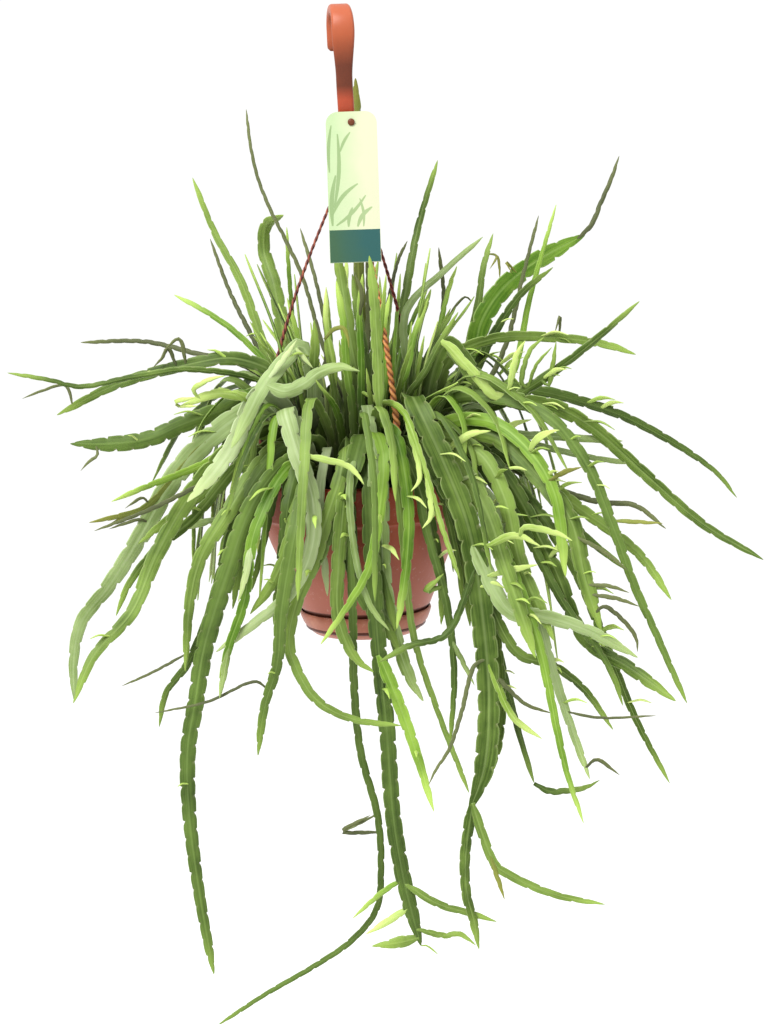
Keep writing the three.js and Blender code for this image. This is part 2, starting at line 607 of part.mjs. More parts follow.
        at: [[60, -285], [92, -305], [130, -375], [152, -430], [182, -451], [214, -476]] },
      { wide: 8.5, tip: 2.5, bearing: -26,
        at: [[66, -285], [96, -308], [142, -372], [168, -440], [186, -488], [209, -535]] },
      { wide: 9, tip: 6, bearing: -36,
        at: [[56, -278], [88, -275], [112, -292], [132, -325], [139, -385]] },
      { wide: 8, tip: 3, bearing: -24, at: [[68, -290], [124, -318], [152, -356], [184, -384]] },
      { wide: 8, tip: 2.5, bearing: -44,
        at: [[52, -290], [77, -315], [99, -370], [119, -430], [131, -495], [137, -525], [148, -562]] },
      { wide: 5, tip: 2.5, bearing: -20,
        at: [[64, -288], [90, -300], [130, -322], [165, -334], [188, -337], [209, -354]] },
      { wide: 8.5, tip: 4, bearing: -38,
        at: [[56, -290], [88, -330], [113, -390], [128, -448], [140, -490], [153, -530]] },
      { wide: 6, tip: 4, bearing: -16, at: [[66, -285], [118, -286], [150, -289], [180, -292]] },
      { wide: 7, tip: 3, bearing: -32,
        at: [[60, -288], [100, -332], [138, -405], [160, -436], [172, -460], [177, -478]] },
      { wide: 13, tip: 7, bearing: -47,
        at: [[50, -288], [65, -303], [85, -336], [97, -375], [107, -408], [117, -442]] },
    ],
  },
];

// Straps that grow by rule where the viewer can't measure them: how many each clump gets beside its own
const GROWN = [2, 3, 3, 5, 5, 3, 0, 0, 0, 0, 0, 1];
const GROWN_SEED = 5096;

// The clump beside the back strand, whose grown straps keep this many degrees off it
const STRAND_CLUMP = 2;
const STRAND_SHIFT = 5;

// A repeatable draw between 0 and 1
function seededDraws(seed) {
  let state = seed >>> 0;
  return () => {
    state = (Math.imul(state, 1664525) + 1013904223) >>> 0;
    return state / 4294967296;
  };
}

// The point in space that is seen at x, z on the plane y = 0, on the upright plane of a bearing
function seenAtBearing(x, z, bearing) {
  const slope = Math.tan(THREE.MathUtils.degToRad(bearing));
  const depth = -EYE.y;
  const across = x / (1 - ((x - EYE.x) * slope) / depth);
  return seenAtDistance(x, z, -across * slope);
}

// The same at a distance in front of the plane y = 0
function seenAtDistance(x, z, toward) {
  const share = 1 - toward / -EYE.y;
  return new THREE.Vector3(EYE.x + (x - EYE.x) * share, -toward, EYE.z + (z - EYE.z) * share);
}

const placed = ([x, z, toward], bearing) => (
  toward === undefined ? seenAtBearing(x, z, bearing) : seenAtDistance(x, z, toward)
);

// A strap's centre line, up from its clump's plug or out of the strap that it grows from
function stemCurve(stem, index, curves) {
  const points = stem.route ?? stem.at.map((point) => placed(point, stem.bearing));
  if (stem.from) {
    points.unshift(curves[stem.from].getPointAt(stem.share));
  } else {
    const plug = onCircle(PLUG_RING, plugBearing(index));
    const aim = points[0].clone().sub(plug).setZ(0).setLength(3);
    points.unshift(
      plug.clone().addScaledVector(aim, 0.6).setZ(SOIL_TOP - 12),
      plug.clone().addScaledVector(aim, 1.2).setZ(SOIL_TOP + 10),
    );
  }
  return new THREE.CatmullRomCurve3(points, false, "centripetal");
}

// A strap: a lens section with a notched outline, facing the viewer or, where it grows by rule, outward
function stemSolid(stem, curve) {
  const steps = Math.max(4, Math.round(curve.getLength() / (stem.wide > 7.5 ? 30 : 42)));
  const rings = [];
  let side = new THREE.Vector3(1, 0, 0);
  for (let i = 0; i <= steps; i += 1) {
    const share = i / steps;
    const centre = curve.getPointAt(share);
    const tangent = curve.getTangentAt(share);
    const view = stem.route ? new THREE.Vector3(centre.x, centre.y, 90).normalize()
      : new THREE.Vector3(0, 1, 0);
    const across = new THREE.Vector3().crossVectors(tangent, view);
    if (across.dot(side) < 0) {
      across.negate();
    }
    side = across.addScaledVector(side, 0.25).addScaledVector(tangent, -across.dot(tangent)).normalize();
    const face = new THREE.Vector3().crossVectors(tangent, side).normalize();
    const root = stem.from ? 1 : 0.5 + 0.5 * THREE.MathUtils.smoothstep(share, 0.05, 0.3);
    const edge = i % 2 ? CREST : NOTCH;
    const point = 1 - 0.5 * THREE.MathUtils.smoothstep(share, 0.94, 1);
    const half = (THREE.MathUtils.lerp(stem.wide, stem.tip, share ** TAPER) / 2) * root * edge * point;
    const thick = Math.min(STEM_THICKNESS, Math.max(1.6, half)) / 2;
    rings.push([
      centre.clone().addScaledVector(side, half),
      centre.clone().addScaledVector(face, thick),
      centre.clone().addScaledVector(side, -half),
      centre.clone().addScaledVector(face, -thick),
    ]);
  }
  return toSolid(throughRings(rings));
}

// A strap grown by rule: up from the plug, over an arch and down to a hanging tip
function grownStem(index, order, count, draw) {
  const spread = ((order + 0.5) / count - 0.5) * (264 / CLUMPS);
  const beside = index === STRAND_CLUMP ? STRAND_SHIFT : 0;
  const bearing = plugBearing(index) + spread + beside + 2 * draw() - 1;
  const arch = 70 + 34 * draw();
  const height = -258 + 30 * draw();
  const reach = arch + 26 + 62 * draw();
  const drop = 60 + 190 * draw() * draw();
  return {
    wide: 6.5 + 5 * draw(),
    tip: 3 + 2 * draw(),
    route: [
      onCircle(54, bearing, -282),
      onCircle(arch, bearing, height),
      onCircle((arch + reach) / 2 + 6, bearing, height - 0.32 * drop),
      onCircle(reach, bearing, height - drop),
    ],
  };
}

// A clump: its plug and all its straps as one body, with any sealed hollow filled and loose scrap dropped
function clump(index, stems) {
  const at = onCircle(PLUG_RING, plugBearing(index));
  const plug = cylinder(PLUG_RADIUS, SOIL_TOP - PLUG_DEPTH, SOIL_TOP + PLUG_RISE, PLUG_SIDES, at.x, at.y);
  const curves = {};
  const solids = [toSolid(plug)];
  for (const stem of stems) {
    const curve = stemCurve(stem, index, curves);
    if (stem.key) {
      curves[stem.key] = curve;
    }
    solids.push(stemSolid(stem, curve));
  }
  const bodies = solids.reduce((sum, solid) => sum.add(solid)).decompose();
  return bodies.reduce((largest, body) => (body.volume() > largest.volume() ? body : largest));
}

addNode("pot", pot(), MATERIALS.pot);
addNode("saucer", saucer(), MATERIALS.pot);
addNode("soil", soil(), MATERIALS.soil);
addNode("hook", hook(), MATERIALS.hook);
addNode("label", label(), MATERIALS.label);
for (const [name, bearing] of Object.entries(STRAND_BEARINGS)) {
  addNode(name, strand(bearing), MATERIALS.strand);
}

CLUMP_STEMS.forEach(({ name, stems }, index) => {
  const draw = seededDraws(GROWN_SEED + index);
  const grown = [];
  for (let order = 0; order < GROWN[index]; order += 1) {
    grown.push(grownStem(index, order, GROWN[index], draw));
  }
  addNode(name, toGeometry(clump(index, [...stems, ...grown])), MATERIALS.stem);
});

export default part;
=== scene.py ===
"""A potted Lepismium bolivianum in its hanging pot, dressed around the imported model."""

import logging
import math
from dataclasses import dataclass, field, replace
from enum import Enum

import bmesh
import bpy
import numpy as np
from mathutils import Matrix, Vector

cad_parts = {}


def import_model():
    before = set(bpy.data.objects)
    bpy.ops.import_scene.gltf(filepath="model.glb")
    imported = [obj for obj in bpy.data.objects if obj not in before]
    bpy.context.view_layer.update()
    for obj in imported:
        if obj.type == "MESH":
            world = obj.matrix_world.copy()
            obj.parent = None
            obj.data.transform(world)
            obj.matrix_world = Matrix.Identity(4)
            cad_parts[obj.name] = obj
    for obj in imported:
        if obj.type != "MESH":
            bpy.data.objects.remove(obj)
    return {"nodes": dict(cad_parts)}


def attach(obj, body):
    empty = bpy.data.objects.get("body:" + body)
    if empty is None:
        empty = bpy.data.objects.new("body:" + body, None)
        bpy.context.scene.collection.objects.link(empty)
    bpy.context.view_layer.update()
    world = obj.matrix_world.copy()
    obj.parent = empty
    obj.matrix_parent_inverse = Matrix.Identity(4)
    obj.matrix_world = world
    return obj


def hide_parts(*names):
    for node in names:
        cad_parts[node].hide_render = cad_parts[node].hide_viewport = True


LOG = logging.getLogger("potted_cactus")
MM = 0.001
# A whole turn, as the random draws scale it
WHOLE_TURN = 6.28

# Pot and saucer, in millimetres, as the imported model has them
RIM_RADIUS = 75.0
RIM_TOP = -309.0
LIP_THICKNESS = 2.6
COLLAR_HEIGHT = 25.5
POT_WALL = 1.8
BODY_TOP_RADIUS = 69.8
BODY_FOOT_RADIUS = 45.5
BODY_FOOT = -399.0
FOOT_RING_RADIUS = 41.6
POT_FLOOR = -408.0
POT_FLOOR_INSIDE = POT_FLOOR + 2.2
FOOT_RING_BOTTOM = -413.5
SAUCER_RADIUS = 45.5
SAUCER_TOP = -401.0
SAUCER_BOTTOM = -417.6
SAUCER_FOOT_RADIUS = 35.5
SAUCER_WALL = 1.9

# Soil, and the rooted plugs that the clumps of stems stand in
SOIL_TOP = -322.0
PLUG_RING = 42.0
PLUG_RADIUS = 8.4
PLUG_DEPTH = 20.0
CLUMPS = 12

# Hook, strands and label
HOOK_SEAT_RADIUS = 10.0
HOOK_THICKNESS = 7.0
HOOK_SWAY = 5.4
HOOK_BASE = -108.0
BASE_DISC_RADIUS = 12.5
BASE_DISC_THICKNESS = 5.0
DISC_FOOT = HOOK_BASE - 2
DISC_TOP = DISC_FOOT + BASE_DISC_THICKNESS
PEG_ACROSS = 2.0
PEG_HEIGHT = -71.0
PEG_RADIUS = 1.8
STRAND_BEARINGS = {"strand_left": 172.0, "strand_front": -67.0, "strand_back": 50.0}
STRAND_TOP_RING = 9.3
STRAND_RIM_RING = 71.6
STRAND_BOW = 8.0
LABEL_WIDTH = 34.0
LABEL_HEIGHT = 102.0
LABEL_THICKNESS = 0.8
LABEL_LEAN = 14.0
LABEL_CORNER = 8.0
LABEL_HOLE_FROM_TOP = 7.0
LABEL_BACK = -8.2

# The eye from which the stems were measured, in millimetres, and the same eye for the camera, in metres
EYE = np.array([15.4, -1482.3, -106.1])
CAMERA_EYE = (0.01536, -1.48234, -0.10611)
CAMERA_PITCH = 8.8
CAMERA_ROLL = 1.94
CAMERA_LENS = 76.64

Socket = bpy.types.NodeSocket


class Tone(Enum):
    """How a stem's skin looks, by its age and how much sun it has had."""

    SAGE = "sage"
    LEAF = "leaf"
    FRESH = "fresh"
    DEEP = "deep"
    LIME = "lime"
    PALE = "pale"
    WHIP = "whip"
    OLIVE = "olive"


SAGE, LEAF, FRESH, DEEP, LIME, PALE, WHIP, OLIVE = Tone


def rgb(hex_colour: str) -> tuple[float, float, float, float]:
    """Turns an sRGB hex colour to a linear one.

    Args:
        hex_colour: six hex digits, with or without a hash.

    Returns:
        Linear red, green, blue and alpha.
    """
    digits = hex_colour.lstrip("#")
    channels = [int(digits[i:i + 2], 16) / 255 for i in (0, 2, 4)]
    linear = [c / 12.92 if c <= 0.04045 else ((c + 0.055) / 1.055) ** 2.4 for c in channels]
    return (*linear, 1.0)


def smoothstep(value: float, low: float, high: float) -> float:
    """Eases from 0 at low to 1 at high.

    Args:
        value: where to read the ease.
        low: value that gives 0.
        high: value that gives 1.

    Returns:
        The eased share.
    """
    share = min(1.0, max(0.0, (value - low) / (high - low)))
    return share * share * (3 - 2 * share)


def on_circle(radius: float, degrees: float, z: float = 0.0) -> np.ndarray:
    """A point on a level circle round the pot's axis, in millimetres.

    Args:
        radius: the circle's radius.
        degrees: bearing from +X towards +Y.
        z: height.

    Returns:
        The point.
    """
    turn = math.radians(degrees)
    return np.array([radius * math.cos(turn), radius * math.sin(turn), z])


def unit(vector: np.ndarray) -> np.ndarray:
    """The vector at length one."""
    return vector / max(1e-9, float(np.linalg.norm(vector)))


class SeededDraws:
    """A repeatable row of draws between 0 and 1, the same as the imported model's."""

    def __init__(self, seed: int) -> None:
        """Starts the row at a seed."""
        self.state = seed

    def __call__(self) -> float:
        """The next draw."""
        self.state = (self.state * 1664525 + 1013904223) % 4294967296
        return self.state / 4294967296

    def within(self, low: float, high: float, power: float = 1.0) -> float:
        """The next draw between two values, nearer the first the higher the power."""
        return low + (high - low) * self() ** power


class SmoothPath:
    """A centripetal curve through points, read by its length."""

    DENSITY = 24
    TANGENT_REACH = 0.6

    def __init__(self, points: list[np.ndarray]) -> None:
        """Lays the curve through the points.

        Args:
            points: where it passes, in millimetres.
        """
        ends = [2 * points[0] - points[1], *points, 2 * points[-1] - points[-2]]
        dense = []
        for four in zip(ends, ends[1:], ends[2:], ends[3:]):
            dense.extend(self._span(*four))
        dense.append(points[-1])
        self.dense = np.array(dense)
        steps = np.linalg.norm(np.diff(self.dense, axis=0), axis=1)
        self.reached = np.concatenate([[0.0], np.cumsum(steps)])
        self.length = float(self.reached[-1])

    def _span(self, before: np.ndarray, start: np.ndarray, end: np.ndarray,
              after: np.ndarray) -> list[np.ndarray]:
        """The curve's points between two of its given points.

        Args:
            before: the given point before the span.
            start: the span's start.
            end: the span's end.
            after: the given point after the span.

        Returns:
            Points from the start up to just before the end.
        """
        gap_0 = math.sqrt(np.linalg.norm(start - before)) or 1.0
        gap_1 = math.sqrt(np.linalg.norm(end - start)) or 1.0
        gap_2 = math.sqrt(np.linalg.norm(after - end)) or 1.0
        leave = (start - before) / gap_0 - (end - before) / (gap_0 + gap_1) + (end - start) / gap_1
        arrive = (end - start) / gap_1 - (after - start) / (gap_1 + gap_2) + (after - end) / gap_2
        leave, arrive = leave * gap_1, arrive * gap_1
        bend = -3 * start + 3 * end - 2 * leave - arrive
        twist = 2 * start - 2 * end + leave + arrive
        shares = [k / self.DENSITY for k in range(self.DENSITY)]
        return [start + leave * t + bend * t * t + twist * t ** 3 for t in shares]

    def at(self, share: float) -> np.ndarray:
        """The point at a share of the curve's length."""
        want = share * self.length
        return np.array([np.interp(want, self.reached, self.dense[:, k]) for k in range(3)])

    def tangent(self, share: float) -> np.ndarray:
        """The direction at a share of the curve's length."""
        near = self.TANGENT_REACH / self.length
        return unit(self.at(min(1.0, share + near)) - self.at(max(0.0, share - near)))


class MeshDraft:
    """Vertices and faces gathered in millimetres, then made into one object in metres."""

    PLAIN_SKIN = (0.0,) * 6

    def __init__(self) -> None:
        """Starts empty."""
        self.points: list = []
        self.faces: list[tuple[int, ...]] = []
        self.finish: list[int] = []
        self.skin: list[tuple[float, ...]] = []

    def tube(self, rings: list, finish: int = 0, skins: list | None = None) -> None:
        """Adds a closed skin through rings of equally many points.

        Args:
            rings: the rings, each a list of points.
            finish: the number of the material.
            skins: for each ring, its points' six values for the "skin" and "age" attributes.
        """
        first = len(self.points)
        count = len(rings[0])
        for row, ring in enumerate(rings):
            self.points.extend(ring)
            self.skin.extend(skins[row] if skins else [self.PLAIN_SKIN] * count)
        for low in range(first, first + (len(rings) - 1) * count, count):
            for k in range(count):
                n = (k + 1) % count
                self.faces.append((low + k, low + n, low + count + n, low + count + k))
        last = first + (len(rings) - 1) * count
        self.faces.append(tuple(first + k for k in reversed(range(count))))
        self.faces.append(tuple(last + k for k in range(count)))
        self.finish.extend([finish] * (len(self.faces) - len(self.finish)))

    def turned(self, profile: list[tuple[float, float]], sides: int, finish: int = 0,
               centre: tuple[float, float] = (0.0, 0.0)) -> None:
        """Adds a turned form whose outline starts and ends on the axis.

        Args:
            profile: radius and height pairs along the outline.
            sides: how many steps round.
            finish: the number of the material.
            centre: where the axis stands.
        """
        first = len(self.points)
        inner = profile[1:-1]
        count = len(inner)
        shift = np.array([*centre, 0.0])
        for side in range(sides):
            self.points.extend(on_circle(r, 360 * side / sides, z) + shift for r, z in inner)
        self.points.extend(np.array([0.0, 0.0, z]) + shift for _, z in (profile[0], profile[-1]))
        self.skin.extend([self.PLAIN_SKIN] * (len(self.points) - first))
        start, end = first + sides * count, first + sides * count + 1
        for side in range(sides):
            here, there = first + side * count, first + ((side + 1) % sides) * count
            for k in range(count - 1):
                self.faces.append((here + k, there + k, there + k + 1, here + k + 1))
            self.faces.append((start, there, here))
            self.faces.append((end, here + count - 1, there + count - 1))
        self.finish.extend([finish] * (len(self.faces) - len(self.finish)))

    def build(self, name: str, materials: list, flat: bool = False) -> bpy.types.Object:
        """Makes the object.

        Args:
            name: the piece's name.
            materials: its materials, by number.
            flat: whether its faces keep sharp edges.

        Returns:
            The object, linked to the scene.
        """
        mesh = bpy.data.meshes.new(name)
        mesh.from_pydata([tuple(np.asarray(p) * MM) for p in self.points], [], self.faces)
        for material in materials:
            mesh.materials.append(material)
        mesh.polygons.foreach_set("material_index", self.finish)
        mesh.polygons.foreach_set("use_smooth", [not flat] * len(self.faces))
        for label, part in (("skin", slice(0, 3)), ("age", slice(3, 6))):
            values = mesh.attributes.new(label, "FLOAT_VECTOR", "POINT")
            values.data.foreach_set("vector", [v for value in self.skin for v in value[part]])
        mesh.update()
        sorter = bmesh.new()
        sorter.from_mesh(mesh)
        bmesh.ops.recalc_face_normals(sorter, faces=sorter.faces)
        sorter.to_mesh(mesh)
        sorter.free()
        return link(name, mesh)


def link(name: str, data: bpy.types.ID) -> bpy.types.Object:
    """Makes an object and links it to the scene.

    Args:
        name: its name.
        data: its mesh, light or camera.

    Returns:
        The object.
    """
    made = bpy.data.objects.new(name, data)
    bpy.context.scene.collection.objects.link(made)
    return made


def settle(piece: bpy.types.Object, slot: str, *nodes: str) -> None:
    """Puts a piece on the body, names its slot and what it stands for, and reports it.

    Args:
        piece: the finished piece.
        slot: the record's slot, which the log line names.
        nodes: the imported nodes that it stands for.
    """
    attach(piece, "root")
    if nodes:
        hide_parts(*nodes)
    LOG.info("%s: %d faces, slot %s, stands for %s",
             piece.name, len(piece.data.polygons), slot, ", ".join(nodes) or "nothing")


def cut_away(piece: bpy.types.Object, cutter: bpy.types.Object) -> None:
    """Cuts one object out of another and removes the cutter.

    Args:
        piece: the object that is cut.
        cutter: the object that is taken out of it.
    """
    cut = piece.modifiers.new("cut", "BOOLEAN")
    cut.object, cut.operation, cut.solver = cutter, "DIFFERENCE", "EXACT"
    graph = bpy.context.evaluated_depsgraph_get()
    mesh = bpy.data.meshes.new_from_object(piece.evaluated_get(graph))
    piece.modifiers.clear()
    old, piece.data = piece.data, mesh
    bpy.data.meshes.remove(old)
    bpy.data.objects.remove(cutter)


def add_node(tree: bpy.types.NodeTree, kind: str, settings: dict | None = None) -> bpy.types.Node:
    """Adds one shader node.

    Args:
        tree: the node tree.
        kind: the node's type name, without "ShaderNode".
        settings: properties and inputs by name or number, each with its value or the socket that feeds it.

    Returns:
        The node.
    """
    node = tree.nodes.new("ShaderNode" + kind)
    for name, value in (settings or {}).items():
        if isinstance(value, Socket):
            tree.links.new(value, node.inputs[name])
        elif isinstance(name, str) and hasattr(node, name):
            setattr(node, name, value)
        else:
            node.inputs[name].default_value = value
    return node


class Paint:
    """A material on its way, with one short call for each kind of node that it needs."""

    def __init__(self, name: str) -> None:
        """Starts the material with no shader.

        Args:
            name: its name.
        """
        self.material = bpy.data.materials.new(name)
        self.material.use_nodes = True
        self.tree = self.material.node_tree
        self.tree.nodes.clear()
        self.place = add_node(self.tree, "TexCoord").outputs["Object"]

    def noise(self, scale: float, detail: float = 2.0, roughness: float = 0.5,
              at: Socket | None = None) -> Socket:
        """Clouds of noise.

        Args:
            scale: how many clouds there are in a metre.
            detail: how many finer layers they have.
            roughness: how strong those layers are.
            at: the place to read them at, where it isn't the object's own.

        Returns:
            The noise, from 0 to 1.
        """
        return add_node(self.tree, "TexNoise", {"Vector": self.place if at is None else at,
                                                "Scale": scale, "Detail": detail,
                                                "Roughness": roughness}).outputs["Fac"]

    def remap(self, value: Socket, low: float, high: float, least: float = 0.0,
              most: float = 1.0) -> Socket:
        """Maps a value's range to another, clamped.

        Args:
            value: the value.
            low: where the result is least.
            high: where the result is most.
            least: the result at low.
            most: the result at high.

        Returns:
            The result.
        """
        return add_node(self.tree, "MapRange", {"Value": value, "From Min": low, "From Max": high,
                                                "To Min": least, "To Max": most}).outputs["Result"]

    def maths(self, operation: str, *values: Socket | float) -> Socket:
        """The result of a sum on values, by its name in the shader node."""
        return add_node(self.tree, "Math", {"operation": operation, **dict(enumerate(values))}).outputs[0]

    def parts(self, vector: Socket) -> list[Socket]:
        """The three parts of a vector."""
        return list(add_node(self.tree, "SeparateXYZ", {"Vector": vector}).outputs)

    def attribute(self, name: str) -> list[Socket]:
        """The three values that the mesh holds under a name."""
        return self.parts(add_node(self.tree, "Attribute", {"attribute_name": name}).outputs["Vector"])

    def blend(self, share: Socket | float, under: Socket | str, over: Socket | str) -> Socket:
        """Lays one colour over another.

        Args:
            share: how much of the upper colour shows.
            under: the lower colour, from a node or in sRGB hex.
            over: the upper colour, likewise.

        Returns:
            The blended colour.
        """
        low, high = (rgb(c) if isinstance(c, str) else c for c in (under, over))
        return add_node(self.tree, "Mix", {"data_type": "RGBA", 0: share, 6: low, 7: high}).outputs[2]

    def ramp(self, factor: Socket, stops: list[tuple[float, str]]) -> Socket:
        """Runs through colours.

        Args:
            factor: the value that drives the run.
            stops: places from 0 to 1 with sRGB hex colours.

        Returns:
            The colour.
        """
        node = add_node(self.tree, "ValToRGB", {"Fac": factor})
        band = node.color_ramp
        while len(band.elements) < len(stops):
            band.elements.new(0.5)
        for element, (place, colour) in zip(band.elements, stops):
            element.position = place
            element.color = rgb(colour)
        return node.outputs["Color"]

    def finish(self, colour: Socket, settings: dict, height: Socket | None = None,
               relief: float = 0.0) -> bpy.types.Material:
        """Ends the material with its shader, and a bump from a height where it has one.

        Args:
            colour: the base colour.
            settings: the shader's other inputs.
            height: the bump's height.
            relief: the bump's depth in metres.

        Returns:
            The material.
        """
        inputs = {**settings, "Base Color": colour}
        if height is not None:
            bump = add_node(self.tree, "Bump", {"Strength": 1.0, "Distance": relief, "Height": height})
            inputs["Normal"] = bump.outputs["Normal"]
        shader = add_node(self.tree, "BsdfPrincipled", inputs)
        add_node(self.tree, "OutputMaterial", {"Surface": shader.outputs["BSDF"]})
        return self.material


@dataclass(frozen=True)
class MouldedPolypropylene:
    """Injection-moulded polypropylene: satin, faintly waxy, with a fine mould grain."""

    name: str
    base: str
    shade: str
    bloom: str
    roughness: float
    specks: float = 0.0
    # Painted light and shade by height: heights in millimetres, each with its colour
    painted_light_by_height: tuple[tuple[float, str], ...] = ()

    SPECK_TINT = "bb9a8b"
    # How much the painted light and shade by height cover the pigment
    PAINTED_LIGHT_SHARE = 0.8

    def make(self) -> bpy.types.Material:
        """Makes the material: cloudy pigment, dried splashes and a grain of about 0.4 mm.

        Returns:
            The material.
        """
        paint = Paint(self.name)
        cloud = paint.noise(38.0, 4.0, 0.6)
        colour = paint.ramp(cloud, [(0.28, self.shade), (0.55, self.base), (0.78, self.bloom)])
        if self.painted_light_by_height:
            # Painted light and shade by height in millimetres, laid over the pigment
            low, high = self.painted_light_by_height[0][0] * MM, self.painted_light_by_height[-1][0] * MM
            share = paint.remap(paint.parts(paint.place)[2], low, high)
            painted_light = paint.ramp(share, [((at * MM - low) / (high - low), tint) for at, tint in self.painted_light_by_height])
            colour = paint.blend(self.PAINTED_LIGHT_SHARE, colour, painted_light)
        if self.specks:
            # Dried splashes of tap water and peat, 1 to 3 mm across
            splash = paint.remap(paint.noise(420.0, 3.0), 0.62, 0.74, 0.0, self.specks)
            colour = paint.blend(splash, colour, self.SPECK_TINT)
        gloss = paint.remap(cloud, 0.0, 1.0, self.roughness - 0.07, self.roughness + 0.1)
        return paint.finish(colour, {"Roughness": gloss, "IOR": 1.49, "Specular IOR Level": 0.2,
                                     "Subsurface Weight": 0.06,
                                     "Subsurface Radius": (0.004, 0.0015, 0.001)},
                            paint.noise(2400.0), 0.00004)


@dataclass(frozen=True)
class TwistedStrandPlastic:
    """Extruded polypropylene strand, darker in bands that follow its twist and in blotches."""

    name: str
    base: str
    middle: str
    dark: str

    def make(self) -> bpy.types.Material:
        """Makes the material: dark bands that follow the strand's twist.

        Returns:
            The material.
        """
        paint = Paint(self.name)
        blotch = paint.noise(160.0, 3.0)
        lobe = paint.attribute("skin")[0]
        colour = paint.ramp(paint.maths("MULTIPLY", lobe, blotch),
                            [(0.1, self.dark), (0.26, self.middle), (0.55, self.base)])
        return paint.finish(colour, {"Roughness": 0.45, "IOR": 1.49, "Specular IOR Level": 0.25},
                            blotch, 0.0001)


@dataclass(frozen=True)
class CoatedCard:
    """Printed synthetic card: smooth, thin, with a soft sheen from its coating."""

    name: str
    left: str
    right: str

    def make(self) -> bpy.types.Material:
        """Makes the material: an even colour that changes from left to right across the card, with a fine
        tooth.

        Returns:
            The material.
        """
        paint = Paint(self.name)
        across = paint.remap(paint.parts(paint.place)[0], -0.012, 0.017)
        colour = paint.ramp(paint.maths("MULTIPLY_ADD", paint.noise(60.0), 0.5, across),
                            [(0.25, self.left), (1.0, self.right)])
        return paint.finish(colour, {"Roughness": 0.42, "IOR": 1.5, "Specular IOR Level": 0.15},
                            paint.noise(900.0, 3.0), 0.00003)


@dataclass(frozen=True)
class PeatSoil:
    """Damp peat with bark fibre: dark, crumbly and without shine."""

    name: str = "peat soil, damp"

    def make(self) -> bpy.types.Material:
        """Makes the material: crumbs of 1 to 4 mm with a few tan fibres.

        Returns:
            The material.
        """
        paint = Paint(self.name)
        crumb = paint.noise(330.0, 6.0, 0.65)
        colour = paint.ramp(crumb, [(0.3, "0f0a0c"), (0.5, "2b1d19"), (0.66, "4a3327"), (0.8, "7a5a40")])
        return paint.finish(colour, {"Roughness": 0.92, "Specular IOR Level": 0.3}, crumb, 0.0012)


@dataclass(frozen=True)
class StemSkin:
    """The skin of a flat cactus stem: matt with a thin wax, veined along its length."""

    tone: Tone
    dark: str
    light: str
    margin: str
    young: str
    roughness: float = 0.5
    youth: float = 0.45

    # Streaks across the strap, along it and from strap to strap
    STREAKS = (4.5, 6.0, 9.0)
    # Where the margin and the rib show, from the middle to the edge, and how strongly
    LIGHT_LINES = ((0.86, 0.99, 0.5), (0.16, 0.03, 0.2))
    # Painted shade near the roots and in the heart of the plant, over the darker skin of old stem bases
    OLD_AND_SHADE_TINT = ("111805", 0.8)
    AREOLE_TINT = ("908a69", 0.22)

    def make(self) -> bpy.types.Material:
        """Makes the material: streaks of 1 to 2 mm along the stem, a rib, a margin, a young tip.

        Returns:
            The material.
        """
        paint = Paint(f"cactus stem skin, {self.tone.value}")
        share, across, own = paint.attribute("skin")
        young, old, areole = paint.attribute("age")
        skin_place = add_node(paint.tree, "CombineXYZ", {"X": across, "Y": share, "Z": own})
        stretched = add_node(paint.tree, "VectorMath", {"operation": "MULTIPLY", 1: self.STREAKS,
                                                        0: skin_place.outputs[0]})
        streak = paint.noise(1.0, 5.0, 0.62, stretched.outputs[0])
        cloudy = paint.maths("ADD", paint.noise(30.0, 3.0, 0.6), streak)
        body = paint.remap(paint.maths("MULTIPLY_ADD", own, 0.5, cloudy), 0.9, 1.6)
        colour = paint.blend(body, self.dark, self.light)
        side = paint.maths("ABSOLUTE", across)
        for low, high, most in self.LIGHT_LINES:
            colour = paint.blend(paint.remap(side, low, high, 0.0, most), colour, self.margin)
        # A young tip, painted shade with darker old skin near the roots and in the heart, and the areoles
        for mark, (tint, most) in ((young, (self.young, self.youth)), (old, self.OLD_AND_SHADE_TINT),
                                   (areole, self.AREOLE_TINT)):
            colour = paint.blend(paint.maths("MULTIPLY", mark, most), colour, tint)
        relief = paint.maths("MULTIPLY_ADD", paint.noise(420.0, 1.0), 0.2, streak)
        return paint.finish(colour, {"Roughness": self.roughness, "IOR": 1.42,
                                     "Specular IOR Level": 0.22, "Subsurface Weight": 0.1,
                                     "Subsurface Radius": (0.0008, 0.0016, 0.0004)}, relief, 0.00014)


STEM_SKINS = [
    StemSkin(SAGE, "4c6024", "859763", "a2b089", "99ac67", 0.56),
    StemSkin(LEAF, "2d410a", "6a8138", "91a367", "8fa94a", 0.5),
    StemSkin(FRESH, "395a0a", "769436", "9bb16b", "a2ba5b", 0.48, 0.7),
    StemSkin(DEEP, "1e3007", "526829", "778c4f", "7f9840", 0.54),
    StemSkin(LIME, "5a751c", "96ab5b", "b0be86", "afc06e", 0.46, 0.8),
    StemSkin(PALE, "70824e", "9dab7e", "aab694", "a2b06e", 0.58),
    StemSkin(WHIP, "343922", "565d39", "5b623e", "646b3e", 0.58),
    StemSkin(OLIVE, "3e4716", "6c7734", "787f3e", "7f7c34", 0.54),
]
TONE_NUMBER = {skin.tone: number for number, skin in enumerate(STEM_SKINS)}


